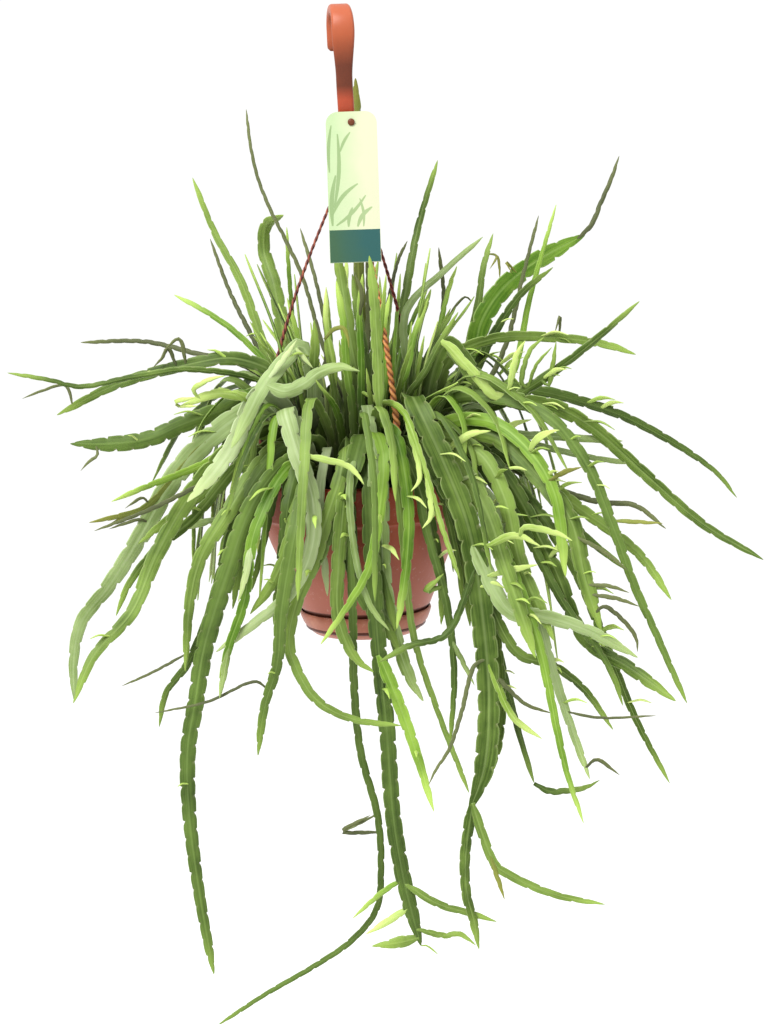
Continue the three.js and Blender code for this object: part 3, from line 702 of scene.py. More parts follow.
@dataclass
class HangingPot:
    """The pot: a thin moulded shell with a deep collar, drained through its floor."""

    sides: int = 108
    drain_holes: int = 4
    drain_sides: int = 24
    drain_ring: float = 26.0
    drain_radius: float = 4.0
    # Painted shade, dark in the gap above the saucer; and redder toward the rim
    finish: MouldedPolypropylene = MouldedPolypropylene(
        "pot polypropylene, moulded", "9a5440", "824632", "aa6e58", 0.42, 0.35,
        painted_light_by_height=((SAUCER_TOP - 6, "280c08"), (SAUCER_TOP + 2.4, "280c08"), (SAUCER_TOP + 3, "9a5a4a"),
                 (RIM_TOP - 60, "9e5745"), (RIM_TOP - 26, "974324"), (RIM_TOP, "923818")))

    def outline(self) -> list[tuple[float, float]]:
        """The shell's outline, from the axis underneath, up the outside and back down inside.

        Returns:
            Pairs of radius and height.
        """
        ring, ring_low, foot, low = FOOT_RING_RADIUS, FOOT_RING_BOTTOM, BODY_FOOT_RADIUS, BODY_FOOT
        body, rim, top, collar = BODY_TOP_RADIUS, RIM_RADIUS, RIM_TOP, RIM_TOP - COLLAR_HEIGHT
        inner_top, inner_foot = body - POT_WALL, foot - POT_WALL
        return [
            (0, POT_FLOOR), (ring - 4.2, POT_FLOOR), (ring - 3.4, POT_FLOOR - 1),
            (ring - 3, ring_low + 0.6), (ring - 2, ring_low), (ring - 0.8, ring_low),
            (ring - 0.1, ring_low + 0.8), (ring, ring_low + 2.5), (ring + 0.5, POT_FLOOR + 3),
            (foot - 2.2, low - 1.2), (foot - 0.4, low + 0.4), (foot + 0.4, low + 2.2),
            (foot + 6, low + 16), (body - 6, collar - 18), (body - 1.2, collar - 3),
            (body - 0.4, collar - 0.6), (body + 1, collar - 0.1), (rim - 2.6, collar),
            (rim - 1.7, collar + 0.5), (rim - 1.3, collar + 1.5), (rim - 0.6, top - 4.4),
            (rim - 0.1, top - 3.2), (rim, top - 1.6), (rim - 0.5, top - 0.4), (rim - 1.6, top),
            (body - 1, top), (inner_top + 0.3, top - 0.5), (inner_top - 0.2, top - 1.6),
            (inner_top, collar), (inner_foot, low + 4), (inner_foot - 1.2, low),
            (inner_foot - 6, POT_FLOOR_INSIDE), (0, POT_FLOOR_INSIDE),
        ]

    def build(self) -> None:
        """Builds the shell and cuts its drain holes."""
        draft = MeshDraft()
        draft.turned(self.outline(), self.sides)
        shell = draft.build("pot_shell", [self.finish.make()])
        drills = MeshDraft()
        for hole in range(self.drain_holes):
            at = on_circle(self.drain_ring, 45 + 360 * hole / self.drain_holes)
            drills.turned([(0, POT_FLOOR - 3), (self.drain_radius, POT_FLOOR - 3),
                           (self.drain_radius, POT_FLOOR + 6), (0, POT_FLOOR + 6)],
                          self.drain_sides, centre=(at[0], at[1]))
        cut_away(shell, drills.build("drills", []))
        for face in shell.data.polygons:
            face.use_smooth = True
        settle(shell, "pot_plastic", "pot")


@dataclass
class ClipSaucer:
    """The saucer: a small bowl that snaps on under the pot, with a gap between them that painted shade on
    the pot darkens.
    """

    sides: int = 96
    finish: MouldedPolypropylene = MouldedPolypropylene(
        "saucer polypropylene, moulded", "9e604b", "854b38", "b07a62", 0.4, 0.45)

    def build(self) -> None:
        """Builds the bowl with its rolled rim and its recessed foot."""
        foot, bottom, rim, top = SAUCER_FOOT_RADIUS, SAUCER_BOTTOM, SAUCER_RADIUS, SAUCER_TOP
        inner = rim - SAUCER_WALL
        draft = MeshDraft()
        draft.turned([
            (0, bottom + 1.2), (foot - 5, bottom + 1.2), (foot - 4, bottom + 0.2), (foot - 3, bottom),
            (foot - 1, bottom), (foot + 0.8, bottom + 0.7), (foot + 3.6, bottom + 3),
            (rim - 2.4, bottom + 8.4), (rim - 0.7, top - 4), (rim, top - 1.4), (rim - 0.3, top - 0.5),
            (rim - 0.9, top), (rim - 1.5, top - 0.2), (inner, top - 1), (inner - 0.6, top - 4),
            (inner - 2.2, bottom + 8.8), (foot + 1.6, bottom + 4.2), (foot - 1, bottom + 3.2),
            (0, bottom + 3.2)], self.sides)
        settle(draft.build("saucer_bowl", [self.finish.make()]), "pot_plastic", "saucer")


@dataclass
class SoilBed:
    """The peat in the pot: a cast body, a rough top and loose crumbs."""

    rings: int = 34
    sides: int = 150
    waves: int = 14
    crumbs: int = 620
    seed: int = 41

    # A crumb's rings, as height and width beside its size
    CRUMB_RINGS = ((-0.8, 0.45), (-0.1, 1.0), (0.5, 0.8), (0.9, 0.3))

    def build(self) -> None:
        """Builds the bed and its crumbs as one piece."""
        draw = SeededDraws(self.seed)
        draft = MeshDraft()
        edge = BODY_TOP_RADIUS - POT_WALL - 0.9
        waves = [(draw.within(0.12, 0.62), draw() * WHOLE_TURN, draw() * WHOLE_TURN, draw())
                 for _ in range(self.waves)]
        outline = [(0, POT_FLOOR + 2.6), (BODY_FOOT_RADIUS - POT_WALL - 7, POT_FLOOR + 2.6),
                   (BODY_FOOT_RADIUS - POT_WALL - 1.2, BODY_FOOT + 4), (edge, SOIL_TOP - 4)]
        steps = [edge - 0.6 - (edge - 2) * k / self.rings for k in range(self.rings)]
        outline += [(r, SOIL_TOP) for r in steps] + [(0, SOIL_TOP + 1)]
        draft.turned(outline, self.sides)
        for k, point in enumerate(draft.points):
            if point[2] > SOIL_TOP - 1:
                lift = sum(size * (1.3 - size) * math.sin(a + point[0] * size * 1.6)
                           * math.cos(b + point[1] * size * 1.9) for size, a, b, _ in waves)
                middle = smoothstep(math.hypot(point[0], point[1]), edge, edge - 7)
                draft.points[k] = point + np.array([0, 0, 1.1 * lift - 1.6 * (1 - middle)])
        for _ in range(self.crumbs):
            radius = (edge - 2) * math.sqrt(draw())
            at = on_circle(radius, 360 * draw(), SOIL_TOP + draw.within(0.4, 1.8))
            size = draw.within(0.7, 2.8, 2)
            draft.tube([[at + on_circle(size * width * draw.within(0.7, 1.2), 72 * k + 30 * draw(),
                                        size * height) for k in range(5)]
                        for height, width in self.CRUMB_RINGS])
        settle(draft.build("soil_bed", [PeatSoil().make()]), "soil", "soil")


@dataclass
class MouldedHook:
    """The hook: one moulded crook on a flat shank, with a disc below for the strands."""

    steps: int = 84
    corner: float = 0.34
    shank_width: float = 11.0
    crook_width: float = 15.3
    shank_depth: float = 5.2
    tip_thinning: float = 2.4
    # Painted light by height: painted shade behind the label, warm just above it, painted shade on the
    # shank below the crook, and a painted highlight up the crook
    finish: MouldedPolypropylene = MouldedPolypropylene(
        "hook polypropylene, moulded", "8a4028", "6c2c1a", "9a4f38", 0.34,
        painted_light_by_height=((-100, "4a2a18"), (-69, "4a2a18"), (-66, "913b24"), (-56, "913b24"), (-47, "462010"),
                 (-34, "462010"), (-14, "8c472c"), (4, "9a5238")))

    # Along the hook: where it grows deeper, where it widens, and where its tip begins
    DEEPENS = (0.2, 0.35)
    WIDENS = (0.43, 0.64)
    TIP = 0.75
    # Along the peg from the hook's face, with its radius beside the plain one
    PEG = ((-1.5, 1), (-8.6, 1), (-9.4, 1.28), (-10.4, 1.3), (-10.9, 0.8))

    def path(self) -> SmoothPath:
        """The crook's centre line, from the disc up the bowed shank and over the seat.

        Returns:
            The centre line.
        """
        crook = HOOK_SEAT_RADIUS + HOOK_THICKNESS / 2
        route = [(0, 0, HOOK_BASE), (-0.6, 0, -84), (-1.2, -1, -62), (-1.6, -6, -44),
                 (-1.4, -11.5, -28), (-1.2, -crook, -12)]
        for angle in range(160, -1, -20):
            turn = math.radians(angle)
            route.append((-1.2 - HOOK_SWAY * (1 + math.cos(turn)) / 2, crook * math.cos(turn),
                          crook * math.sin(turn) - HOOK_SEAT_RADIUS))
        route += [(-1.4 - HOOK_SWAY, crook, -17), (-1.6 - HOOK_SWAY, crook + 0.8, -23)]
        return SmoothPath([np.array(at, dtype=float) for at in route])

    def section(self, share: float) -> list[tuple[float, float]]:
        """A flat section with rounded corners.

        Args:
            share: how far along the hook it is.

        Returns:
            Pairs of across and out, in millimetres.
        """
        low, high = self.WIDENS
        width = self.shank_width + (self.crook_width - self.shank_width) * (
            smoothstep(share, low, high) if share < high else 1 - (share - high) / (1 - high))
        depth = (self.shank_depth + (HOOK_THICKNESS - self.shank_depth) * smoothstep(share, *self.DEEPENS)
                 - self.tip_thinning * max(0.0, share - self.TIP) / (1 - self.TIP))
        round_by = self.corner * depth
        outline = []
        for degrees in range(9, 360, 18):
            across, out = math.cos(math.radians(degrees)), math.sin(math.radians(degrees))
            outline.append((math.copysign(width / 2 - round_by, across) + round_by * across,
                            math.copysign(depth / 2 - round_by, out) + round_by * out))
        return outline

    def build(self) -> None:
        """Builds the crook, the disc and the label's peg as one piece."""
        path = self.path()
        draft = MeshDraft()
        rings = []
        for step in range(self.steps + 1):
            share = step / self.steps
            centre, tangent = path.at(share), path.tangent(share)
            outward = unit(np.array([0.0, tangent[2], -tangent[1]]))
            end = 1 - 0.35 * smoothstep(share, 0.985, 1.0)
            rings.append([centre + np.array([across * end, 0, 0]) + outward * out * end
                          for across, out in self.section(share)])
        draft.tube(rings)
        low, high, r = DISC_FOOT, DISC_TOP, BASE_DISC_RADIUS
        draft.turned([(0, low), (r - 1, low), (r - 0.3, low + 0.3), (r, low + 1.1), (r, high - 1.4),
                      (r - 0.4, high - 0.5), (r - 1.4, high), (7, high + 0.2), (5, high + 1.5),
                      (3.4, high + 5), (0, high + 5)], 60)
        draft.tube([[np.array([PEG_ACROSS, along, PEG_HEIGHT])
                     + on_circle(PEG_RADIUS * swell, 18 * k)[[0, 2, 1]] for k in range(20)]
                    for along, swell in self.PEG])
        settle(draft.build("hook_crook", [self.finish.make()]), "hook_plastic", "hook")


@dataclass
class PotStrands:
    """The three strands: twisted flat cords with a bead above the disc and a barb at the rim."""

    pitch: float = 11.0
    rings: int = 150
    sides: int = 12
    slimness: tuple[float, float, float] = (0.8, 1.12, 0.8)
    finishes: tuple[TwistedStrandPlastic, ...] = (
        TwistedStrandPlastic("strand polypropylene, stained brown", "8c4c38", "5f2e27", "341b1a"),
        TwistedStrandPlastic("strand polypropylene, faded", "b07c46", "935a2c", "5c3216"),
        TwistedStrandPlastic("strand polypropylene, shaded", "7c3a30", "5c2722", "341514"))

    # Height and radius of the bead over the disc and the neck through it, and of the barb at the rim
    BEAD = ((DISC_TOP + 3.2, 0.5), (DISC_TOP + 2.9, 1.3), (DISC_TOP + 1.8, 2.1), (DISC_TOP + 0.5, 2.1),
            (DISC_TOP + 0.25, 1.1), (DISC_FOOT - 0.15, 1.1), (DISC_FOOT - 1.5, 1.4))
    BARB = ((RIM_TOP + 5, 2.3), (RIM_TOP + 0.8, 2.3), (RIM_TOP + 0.15, 1.1),
            (RIM_TOP - LIP_THICKNESS - 0.15, 1.1), (RIM_TOP - LIP_THICKNESS - 0.4, 1.5),
            (RIM_TOP - LIP_THICKNESS - 3.8, 0.5))

    def build(self) -> None:
        """Builds each strand as its own piece."""
        for (name, bearing), slim, finish in zip(STRAND_BEARINGS.items(), self.slimness, self.finishes):
            draft = MeshDraft()
            self._strand(draft, self._stations(bearing, slim))
            settle(draft.build(name + "_cord", [finish.make()]), "strand_plastic", name)

    def _stations(self, bearing: float, slim: float) -> list[tuple[np.ndarray, float]]:
        """The centres of a strand's rings, each with its radius.

        Args:
            bearing: the strand's place round the rim.
            slim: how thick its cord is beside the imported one.

        Returns:
            Centres and radii, from the bead down to the barb.
        """
        made = [(on_circle(STRAND_TOP_RING, bearing, z), radius) for z, radius in self.BEAD]
        top, foot = DISC_FOOT - 4, RIM_TOP + 8
        for k in range(1, self.rings):
            share = k / self.rings
            out = (STRAND_TOP_RING + (STRAND_RIM_RING - STRAND_TOP_RING) * share
                   + STRAND_BOW * math.sin(math.pi * share))
            made.append((on_circle(out, bearing, top + (foot - top) * share),
                         slim * (1.4 + 0.9 * share * share)))
        return made + [(on_circle(STRAND_RIM_RING, bearing, z), radius) for z, radius in self.BARB]

    def _strand(self, draft: MeshDraft, stations: list[tuple[np.ndarray, float]]) -> None:
        """Adds one strand, flat and twisted between its bead and its barb.

        Args:
            draft: where it is added.
            stations: its rings' centres and radii.
        """
        rings, skins, run = [], [], 0.0
        for number, (centre, radius) in enumerate(stations):
            run += math.dist(centre, stations[max(0, number - 1)][0])
            twisted = len(self.BEAD) < number < len(stations) - len(self.BARB)
            ring, skin = [], []
            for side in range(self.sides):
                angle = 360 * side / self.sides
                lobe = abs(math.cos(math.radians(angle)))
                flat, turn = (0.62 + 0.5 * lobe, 360 * run / self.pitch) if twisted else (1.0, 0.0)
                ring.append(on_circle(radius * flat, angle + turn) + centre)
                skin.append((lobe, *[0.0] * 5))
            rings.append(ring)
            skins.append(skin)
        draft.tube(rings, 0, skins)


@dataclass
class PlantLabel:
    """The label: a thin card on the hook's peg, with a plain leaf drawing and a bare band."""

    band_height: float = 22.0
    margin: float = 0.25
    relief: float = 0.06

    # The drawing's leaves: foot, tip, width and bow
    LEAVES = (((-15.5, -34), (-13.5, -2), 2.2, 1.2), ((-13.0, -58), (-9.5, -8), 2.6, -2.0),
              ((-14.5, -70), (-11.5, -36), 3.0, 1.6), ((-8, -20), (-1, -7), 2.0, 0.8),
              ((-14, -62), (3, -42), 2.6, 2.4), ((-12, -70), (8, -50), 2.2, -1.6),
              ((2, -71), (12, -58), 2.8, 1.8), ((-4, -71), (-1, -58), 2.4, 0.8),
              ((6, -71), (4, -52), 1.8, -1.2))

    def _place(self, x: float, up: float, out: float) -> np.ndarray:
        """A point of the leaning card in the pot's frame.

        Args:
            x: side to side from the peg's hole.
            up: up the card from the hole.
            out: in front of its back face.

        Returns:
            The point.
        """
        lean = math.radians(LABEL_LEAN)
        return np.array([PEG_ACROSS + x, LABEL_BACK - out * math.cos(lean) + up * math.sin(lean),
                         PEG_HEIGHT + out * math.sin(lean) + up * math.cos(lean)])

    def _panel(self, draft: MeshDraft, outline: list[tuple[float, float]], finish: int,
               back: float, front: float) -> None:
        """Adds a flat panel from its outline.

        Args:
            draft: where it is added.
            outline: points on the card, in order.
            finish: the number of the material.
            back: how far its back is in front of the card's back.
            front: how far its front is.
        """
        draft.tube([[self._place(x, up, out) for x, up in outline] for out in (back, front)], finish)

    def card_outline(self) -> list[tuple[float, float]]:
        """The card's outline with its two rounded top corners.

        Returns:
            Points on the card, from its foot round.
        """
        half, top = LABEL_WIDTH / 2, LABEL_HOLE_FROM_TOP
        foot = top - LABEL_HEIGHT
        corners = []
        for k in range(9):
            turn = math.radians(90 * k / 8)
            corners.append((half - LABEL_CORNER * (1 - math.cos(turn)),
                            top - LABEL_CORNER * (1 - math.sin(turn))))
        return [(-half, foot), (half, foot), *corners, *[(-x, up) for x, up in reversed(corners)]]

    def leaf(self, foot: tuple[float, float], tip: tuple[float, float], width: float,
             bend: float) -> list[tuple[float, float]]:
        """A drawn strap leaf.

        Args:
            foot: where it starts on the card.
            tip: where it ends.
            width: its greatest width.
            bend: how far it bows to its left.

        Returns:
            Its outline.
        """
        start, along = np.array(foot), np.array(tip) - np.array(foot)
        normal = np.array([-along[1], along[0]]) / np.linalg.norm(along)
        one, other = [], []
        for k in range(13):
            share = k / 12
            centre = start + along * share + normal * bend * math.sin(math.pi * share)
            half = width / 2 * math.sin(math.pi * (0.08 + 0.86 * share)) ** 0.7
            one.append(tuple(centre + normal * half))
            other.append(tuple(centre - normal * half))
        return one + other[::-1]

    def build(self) -> None:
        """Builds the card, its drawing and its band."""
        card, drawing, drill = MeshDraft(), MeshDraft(), MeshDraft()
        self._panel(card, self.card_outline(), 0, 0.0, LABEL_THICKNESS)
        self._panel(drill, [tuple(on_circle(PEG_RADIUS + 0.5, 15 * k)[:2]) for k in range(24)],
                    0, -2.0, 3.0)
        half, foot = LABEL_WIDTH / 2 - self.margin, LABEL_HOLE_FROM_TOP - LABEL_HEIGHT
        band_top = foot + self.band_height
        back = LABEL_THICKNESS - self.relief / 2
        self._panel(drawing, [(-half, foot + 0.2), (half, foot + 0.2), (half, band_top),
                              (-half, band_top)], 0, back, LABEL_THICKNESS + self.relief)
        for number, leaf in enumerate(self.LEAVES):
            # Each leaf is a hair prouder than the one before, so that they cross cleanly
            self._panel(drawing, self.leaf(*leaf), 1, back,
                        LABEL_THICKNESS + self.relief * (0.4 + 0.05 * number))
        piece = card.build("label_card", [
            CoatedCard("label card, coated synthetic", "90a27b", "a5a88c").make()], flat=True)
        cut_away(piece, drill.build("punch", []))
        settle(piece, "label_card", "label")
        settle(drawing.build("label_print", [
            CoatedCard("label band, offset print", "2a4731", "1b4341").make(),
            CoatedCard("label drawing, offset print", "6f8459", "7d8e65").make(),
        ], flat=True), "label_card")


@dataclass(frozen=True)
class Strap:
    """One flat stem. Its points are x and z as seen on the plane y = 0, or with the distance toward
    the camera as a third value. A shoot names the strap that it grows from and how far along."""

    tone: Tone | None
    wide: float
    tip: float
    at: tuple = ()
    bearing: float | None = None
    key: str | None = None
    grows_from: str | None = None
    share: float = 0.0
    route: tuple = ()


# Each clump's own straps, as the imported model has them
CLUMP_STRAPS: dict[str, list[Strap]] = {
    "stems_right": [
        Strap(LEAF, 8.5, 4, ((62, -234), (92, -219), (140, -220), (171, -226), (190, -233)), bearing=-4),
        Strap(DEEP, 8.5, 2, ((70, -258), (100, -253), (130, -257), (164, -268), (185, -277), (222, -299),
              (245, -317), (258, -334)), bearing=5),
        Strap(DEEP, 8, 3, ((62, -262), (80, -240), (92, -218), (113, -189), (135, -172)), bearing=9),
        Strap(FRESH, 5, 2, ((85, -268), (105, -245), (119, -191), (138, -130)), bearing=12),
        Strap(SAGE, 5, 3, ((75, -285), (110, -290), (140, -298), (165, -304), (190, -308)), bearing=-9),
    ],
    "stems_right_back": [
        Strap(FRESH, 14.5, 10, ((58, -262), (78, -235), (85, -208), (99, -187), (120, -170), (142, -158),
              (157, -151)), bearing=25, key="arch"),
        Strap(WHIP, 3.4, 2, ((161, -145), (168, -130), (175, -115), (181, -99)), bearing=25,
              grows_from="arch", share=0.97),
        Strap(LEAF, 7, 3, ((52, -262), (70, -240), (83, -198), (88, -170), (95, -148)), bearing=32),
        Strap(SAGE, 6, 3, ((38, -262), (34, -200), (61, -172), (88, -150)), bearing=38),
        Strap(WHIP, 4, 2, ((80, -262), (101, -225), (115, -175), (126, -137)), bearing=20),
        Strap(FRESH, 4, 3, ((44, -262), (52, -232), (64, -184), (70, -169)), bearing=41),
    ],
    "stems_back_right": [
        Strap(LEAF, 7, 3, ((22, -262), (24, -235), (34, -190), (44, -144), (59, -98)), bearing=62),
        Strap(WHIP, 4, 2.5, ((29, -266), (47, -235), (60, -195), (58, -156)), bearing=62),
        Strap(LEAF, 6, 4, ((26, -262), (33, -235), (44, -204), (52, -184)), bearing=62),
        Strap(WHIP, 3, 2, ((14, -262), (18, -215), (30, -165), (37, -151)), bearing=66),
    ],
    "stems_back": [
        Strap(WHIP, 4, 3, ((4, -262, -46), (9, -200, -44), (10, -120, -30), (8, -62, -20)), bearing=90),
        Strap(WHIP, 3, 2, ((-10, -262, -50), (-24, -215, -58), (-35, -172, -66), (-45, -148, -70),
              (-55, -126, -74), (-62, -106, -78), (-66, -85, -80), (-68, -60, -84)), bearing=90),
    ],
    "stems_back_left": [
        Strap(LEAF, 11, 7, ((-40, -262), (-46, -235), (-50, -205), (-54, -178), (-60, -153), (-58, -138),
              (-46, -131)), bearing=122),
        Strap(FRESH, 4, 2.5, ((-28, -262), (-42, -225), (-43, -190), (-44, -160), (-44, -139)),
              bearing=112),
        Strap(WHIP, 3.4, 2, ((-30, -262), (-20, -222), (-25, -180), (-35, -140)), bearing=132),
        Strap(LEAF, 9, 6, ((-26, -262), (-36, -232), (-42, -214)), bearing=126),
    ],
    "stems_left_back": [
        Strap(LEAF, 7, 3, ((-48, -262), (-60, -228), (-76, -176), (-93, -141), (-106, -104)), bearing=150),
        Strap(WHIP, 4, 2, ((-50, -262), (-66, -222), (-84, -182), (-96, -145)), bearing=140),
        Strap(FRESH, 5, 3, ((-56, -240), (-79, -211), (-101, -194), (-122, -182)), bearing=155),
        Strap(WHIP, 4, 2.5, ((-60, -245), (-82, -229), (-106, -223), (-143, -213), (-187, -212)),
              bearing=163),
    ],
    "stems_left": [
        Strap(LEAF, 10, 4, ((-52, -243), (-80, -227), (-117, -230), (-165, -242), (-206, -261)),
              bearing=176),
        Strap(LEAF, 4.5, 2.5, ((-56, -250), (-110, -233), (-149, -236), (-190, -242), (-209, -237),
              (-238, -231)), bearing=182),
        Strap(DEEP, 12, 9, ((-50, -262), (-64, -252), (-98, -263), (-120, -270), (-143, -279), (-170, -282),
              (-198, -281)), bearing=187, key="notched"),
    ],
    "stems_left_front": [
        Strap(LIME, 8, 5, ((-56, -268), (-92, -250), (-122, -258)), bearing=196),
        Strap(FRESH, 6, 3, ((-64, -280), (-112, -300), (-152, -314), (-172, -322)), bearing=204),
        Strap(SAGE, 15, 4, ((-48, -270), (-70, -262), (-109, -286), (-132, -312), (-154, -348),
              (-178, -382), (-197, -405), (-204, -432), (-205, -462)), bearing=200, key="outer"),
        Strap(OLIVE, 5, 2.5, ((-150, -327), (-168, -332), (-188, -336)), bearing=200, grows_from="outer",
              share=0.4),
        Strap(LEAF, 8, 4, ((-55, -285), (-95, -310), (-130, -333), (-155, -352)), bearing=207),
        Strap(LEAF, 12.5, 4, ((-58, -275), (-86, -287), (-112, -312), (-143, -360), (-162, -400),
              (-190, -430), (-206, -463)), bearing=213),
        Strap(PALE, 13, 8, ((-50, -262), (-66, -250), (-88, -288), (-105, -309), (-120, -324)),
              bearing=220),
        Strap(LEAF, 8, 3, ((-70, -292), (-118, -337), (-145, -358), (-163, -380), (-173, -402)),
              bearing=209),
    ],
    "stems_front_left": [
        Strap(LEAF, 12, 3, ((-55, -290, 55), (-75, -308, 72), (-94, -335, 84), (-112, -362, 88),
              (-121, -392, 86), (-127, -443, 84))),
        Strap(DEEP, 9, 3, ((-50, -290, 58), (-78, -318, 78), (-97, -370, 80), (-110, -408, 78),
              (-126, -439, 78), (-141, -458, 78), (-147, -482, 78))),
        Strap(DEEP, 12.5, 5, ((-44, -295, 62), (-72, -322, 86), (-96, -378, 92), (-113, -427, 90),
              (-121, -465, 90), (-128, -500, 90), (-129, -545, 90), (-125, -600, 90), (-117, -664, 90))),
        Strap(FRESH, 8, 4, ((-46, -300, 66), (-74, -345, 92), (-84, -395, 92), (-97, -430, 92),
              (-104, -463, 92))),
        Strap(PALE, 12, 4, ((-38, -285, 60), (-50, -262, 72), (-44, -290, 88), (-34, -325, 94),
              (-36, -360, 94), (-52, -390, 92), (-78, -411, 90), (-105, -430, 88))),
        Strap(DEEP, 9, 6, ((-40, -300, 66), (-51, -330, 84), (-54, -375, 74), (-62, -420, 66))),
        Strap(LEAF, 10, 5, ((-38, -305, 68), (-50, -350, 92), (-62, -380, 88), (-80, -404, 86))),
        Strap(DEEP, 10, 4, ((-36, -310, 72), (-46, -345, 96), (-58, -400, 96), (-63, -440, 92),
              (-73, -470, 90), (-79, -505, 90))),
    ],
    "stems_front": [
        Strap(LEAF, 10, 6, ((2, -262, 34), (-4, -215, 24), (-8, -180, 16), (-12, -150, 10))),
        Strap(DEEP, 7, 5, ((8, -262, 38), (4, -215, 30), (-1, -172, 22))),
        Strap(LEAF, 9.5, 3, ((-10, -290, 66), (-14, -310, 84), (-25, -340, 86), (-36, -372, 84),
              (-47, -395, 84), (-54, -425, 84), (-49, -445, 86), (-36, -467, 90), (-12, -481, 88),
              (22, -487, 86))),
        Strap(LEAF, 10, 6, ((-6, -295, 68), (-12, -325, 86), (-18, -375, 86), (-19, -410, 84),
              (-8, -438, 82), (4, -448, 82))),
        Strap(FRESH, 8, 3, ((10, -280, 66), (16, -296, 88), (12, -335, 98), (3, -375, 98), (-12, -400, 98),
              (-32, -427, 98))),
        Strap(SAGE, 5, 3, ((-2, -290, 70), (-8, -318, 92), (-5, -370, 94), (4, -402, 94), (16, -419, 94))),
        Strap(DEEP, 10.5, 9.5, ((4, -290, 62), (5, -320, 84), (6, -380, 82), (8, -430, 78), (12, -490, 76),
              (14, -550, 76), (19, -592, 76), (24, -618, 76), (31, -648, 76)), key="centre"),
        Strap(LEAF, 8, 6, ((15, -645, 76), (-4, -647, 76)), grows_from="centre", share=0.985),
        Strap(LIME, 5, 3, ((8, -629, 78), (-8, -638, 80)), grows_from="centre", share=0.93),
        Strap(FRESH, 4, 2, ((4, -608, 74), (-17, -626, 72)), grows_from="centre", share=0.88),
        Strap(LEAF, 5, 3, ((45, -618, 80), (66, -625, 82), (85, -632, 84)), grows_from="centre",
              share=0.89),
        Strap(LEAF, 4, 2.5, ((48, -641, 74), (58, -640, 74), (70, -649, 74)), grows_from="centre",
              share=0.97),
        Strap(FRESH, 8, 3, ((24, -480, 80), (33, -510, 82), (43, -550, 84)), grows_from="centre",
              share=0.5),
        Strap(DEEP, 5.5, 2.5, ((-4, -300, 68), (-8, -318, 86), (-9, -350, 86), (-9, -410, 72),
              (-10, -455, 66), (-7, -505, 66), (3, -550, 66), (4.5, -585, 66), (0, -620, 66),
              (-18, -642, 66), (-45, -660, 66), (-81, -680, 66), (-116, -702, 66))),
    ],
    "stems_front_right": [
        Strap(LEAF, 15, 13, ((36, -285, 44), (36, -257, 60), (43, -270, 74), (57, -303, 84), (73, -350, 90),
              (80, -400, 90), (84, -470, 88), (79, -520, 86), (68, -550, 86)), key="long"),
        Strap(LEAF, 7, 5, ((64, -585, 86), (64.5, -612, 86), (69, -632, 86), (72, -652, 86)),
              grows_from="long", share=0.985),
        Strap(LEAF, 6, 2.5, ((79, -575, 88), (85, -590, 90), (100, -601, 92), (128, -614, 94),
              (162, -622, 94)), grows_from="long", share=0.985),
        Strap(SAGE, 10, 7, ((100, -408, 96), (122, -412, 102), (155, -424, 106), (188, -444, 108)),
              grows_from="long", share=0.52),
        Strap(LEAF, 7, 3, ((105, -438, 84), (128, -447, 82), (150, -465, 80), (170, -495, 78)),
              grows_from="long", share=0.58),
        Strap(LIME, 5, 3, ((100, -483, 92), (120, -500, 94)), grows_from="long", share=0.72),
        Strap(DEEP, 4.5, 4, ((55, -423, 94), (30, -430, 96), (8, -441, 96)), grows_from="long", share=0.56),
        Strap(LEAF, 11, 9, ((37, -290, 44), (55, -314, 70), (76, -360, 74), (87, -420, 72), (90, -480, 72),
              (82, -530, 72))),
        Strap(LIME, 4.5, 3, ((16, -262, 56), (30, -266, 78), (42, -300, 92), (54, -345, 98),
              (66, -385, 98)), key="lime"),
        Strap(LIME, 4, 2.5, ((40, -314, 98), (34, -322, 100)), grows_from="lime", share=0.5),
        Strap(LIME, 4, 2.5, ((47, -340, 100), (41, -348, 102)), grows_from="lime", share=0.68),
        Strap(FRESH, 9, 4, ((14, -280, 54), (25, -284, 84), (32, -335, 93), (29, -375, 92),
              (21, -418, 90))),
        Strap(SAGE, 11, 7, ((14, -295, 66), (13, -330, 82), (14, -385, 76), (20, -422, 72), (30, -455, 72),
              (38, -470, 72))),
        Strap(DEEP, 6, 3, ((38, -300, 58), (42, -340, 80), (56, -400, 76), (60, -450, 74), (56, -500, 74))),
        Strap(DEEP, 7, 3, ((36, -296, 56), (56, -325, 70), (76, -365, 64), (92, -440, 64), (103, -490, 64),
              (114, -532, 64))),
        Strap(LEAF, 5, 3, ((20, -298, 64), (25, -322, 86), (28, -365, 82), (33, -425, 66), (47, -475, 64),
              (68, -537, 64))),
    ],
    "stems_right_front": [
        Strap(LEAF, 12, 3, ((52, -240), (62, -222), (82, -246), (103, -260), (135, -267), (160, -282),
              (197, -317), (235, -352), (276, -378)), bearing=-18, key="far"),
        Strap(DEEP, 8.5, 3, ((60, -262), (98, -260), (130, -274), (155, -307), (172, -350), (187, -394),
              (200, -425), (211, -452), (222, -478)), bearing=-28),
        Strap(LEAF, 10, 4, ((64, -285), (108, -305), (148, -336), (190, -371), (212, -404)), bearing=-22),
        Strap(LEAF, 13, 8, ((58, -285), (92, -285), (120, -312), (143, -345), (152, -385), (163, -425)),
              bearing=-34),
        Strap(LEAF, 11, 8, ((50, -285), (82, -298), (98, -328), (108, -375), (130, -430)), bearing=-40),
        Strap(LEAF, 8, 3, ((58, -275), (100, -262), (135, -242), (164, -221), (193, -197)), bearing=-13),
        Strap(LEAF, 10.5, 7, ((60, -285), (92, -305), (130, -375), (152, -430), (182, -451), (214, -476)),
              bearing=-30),
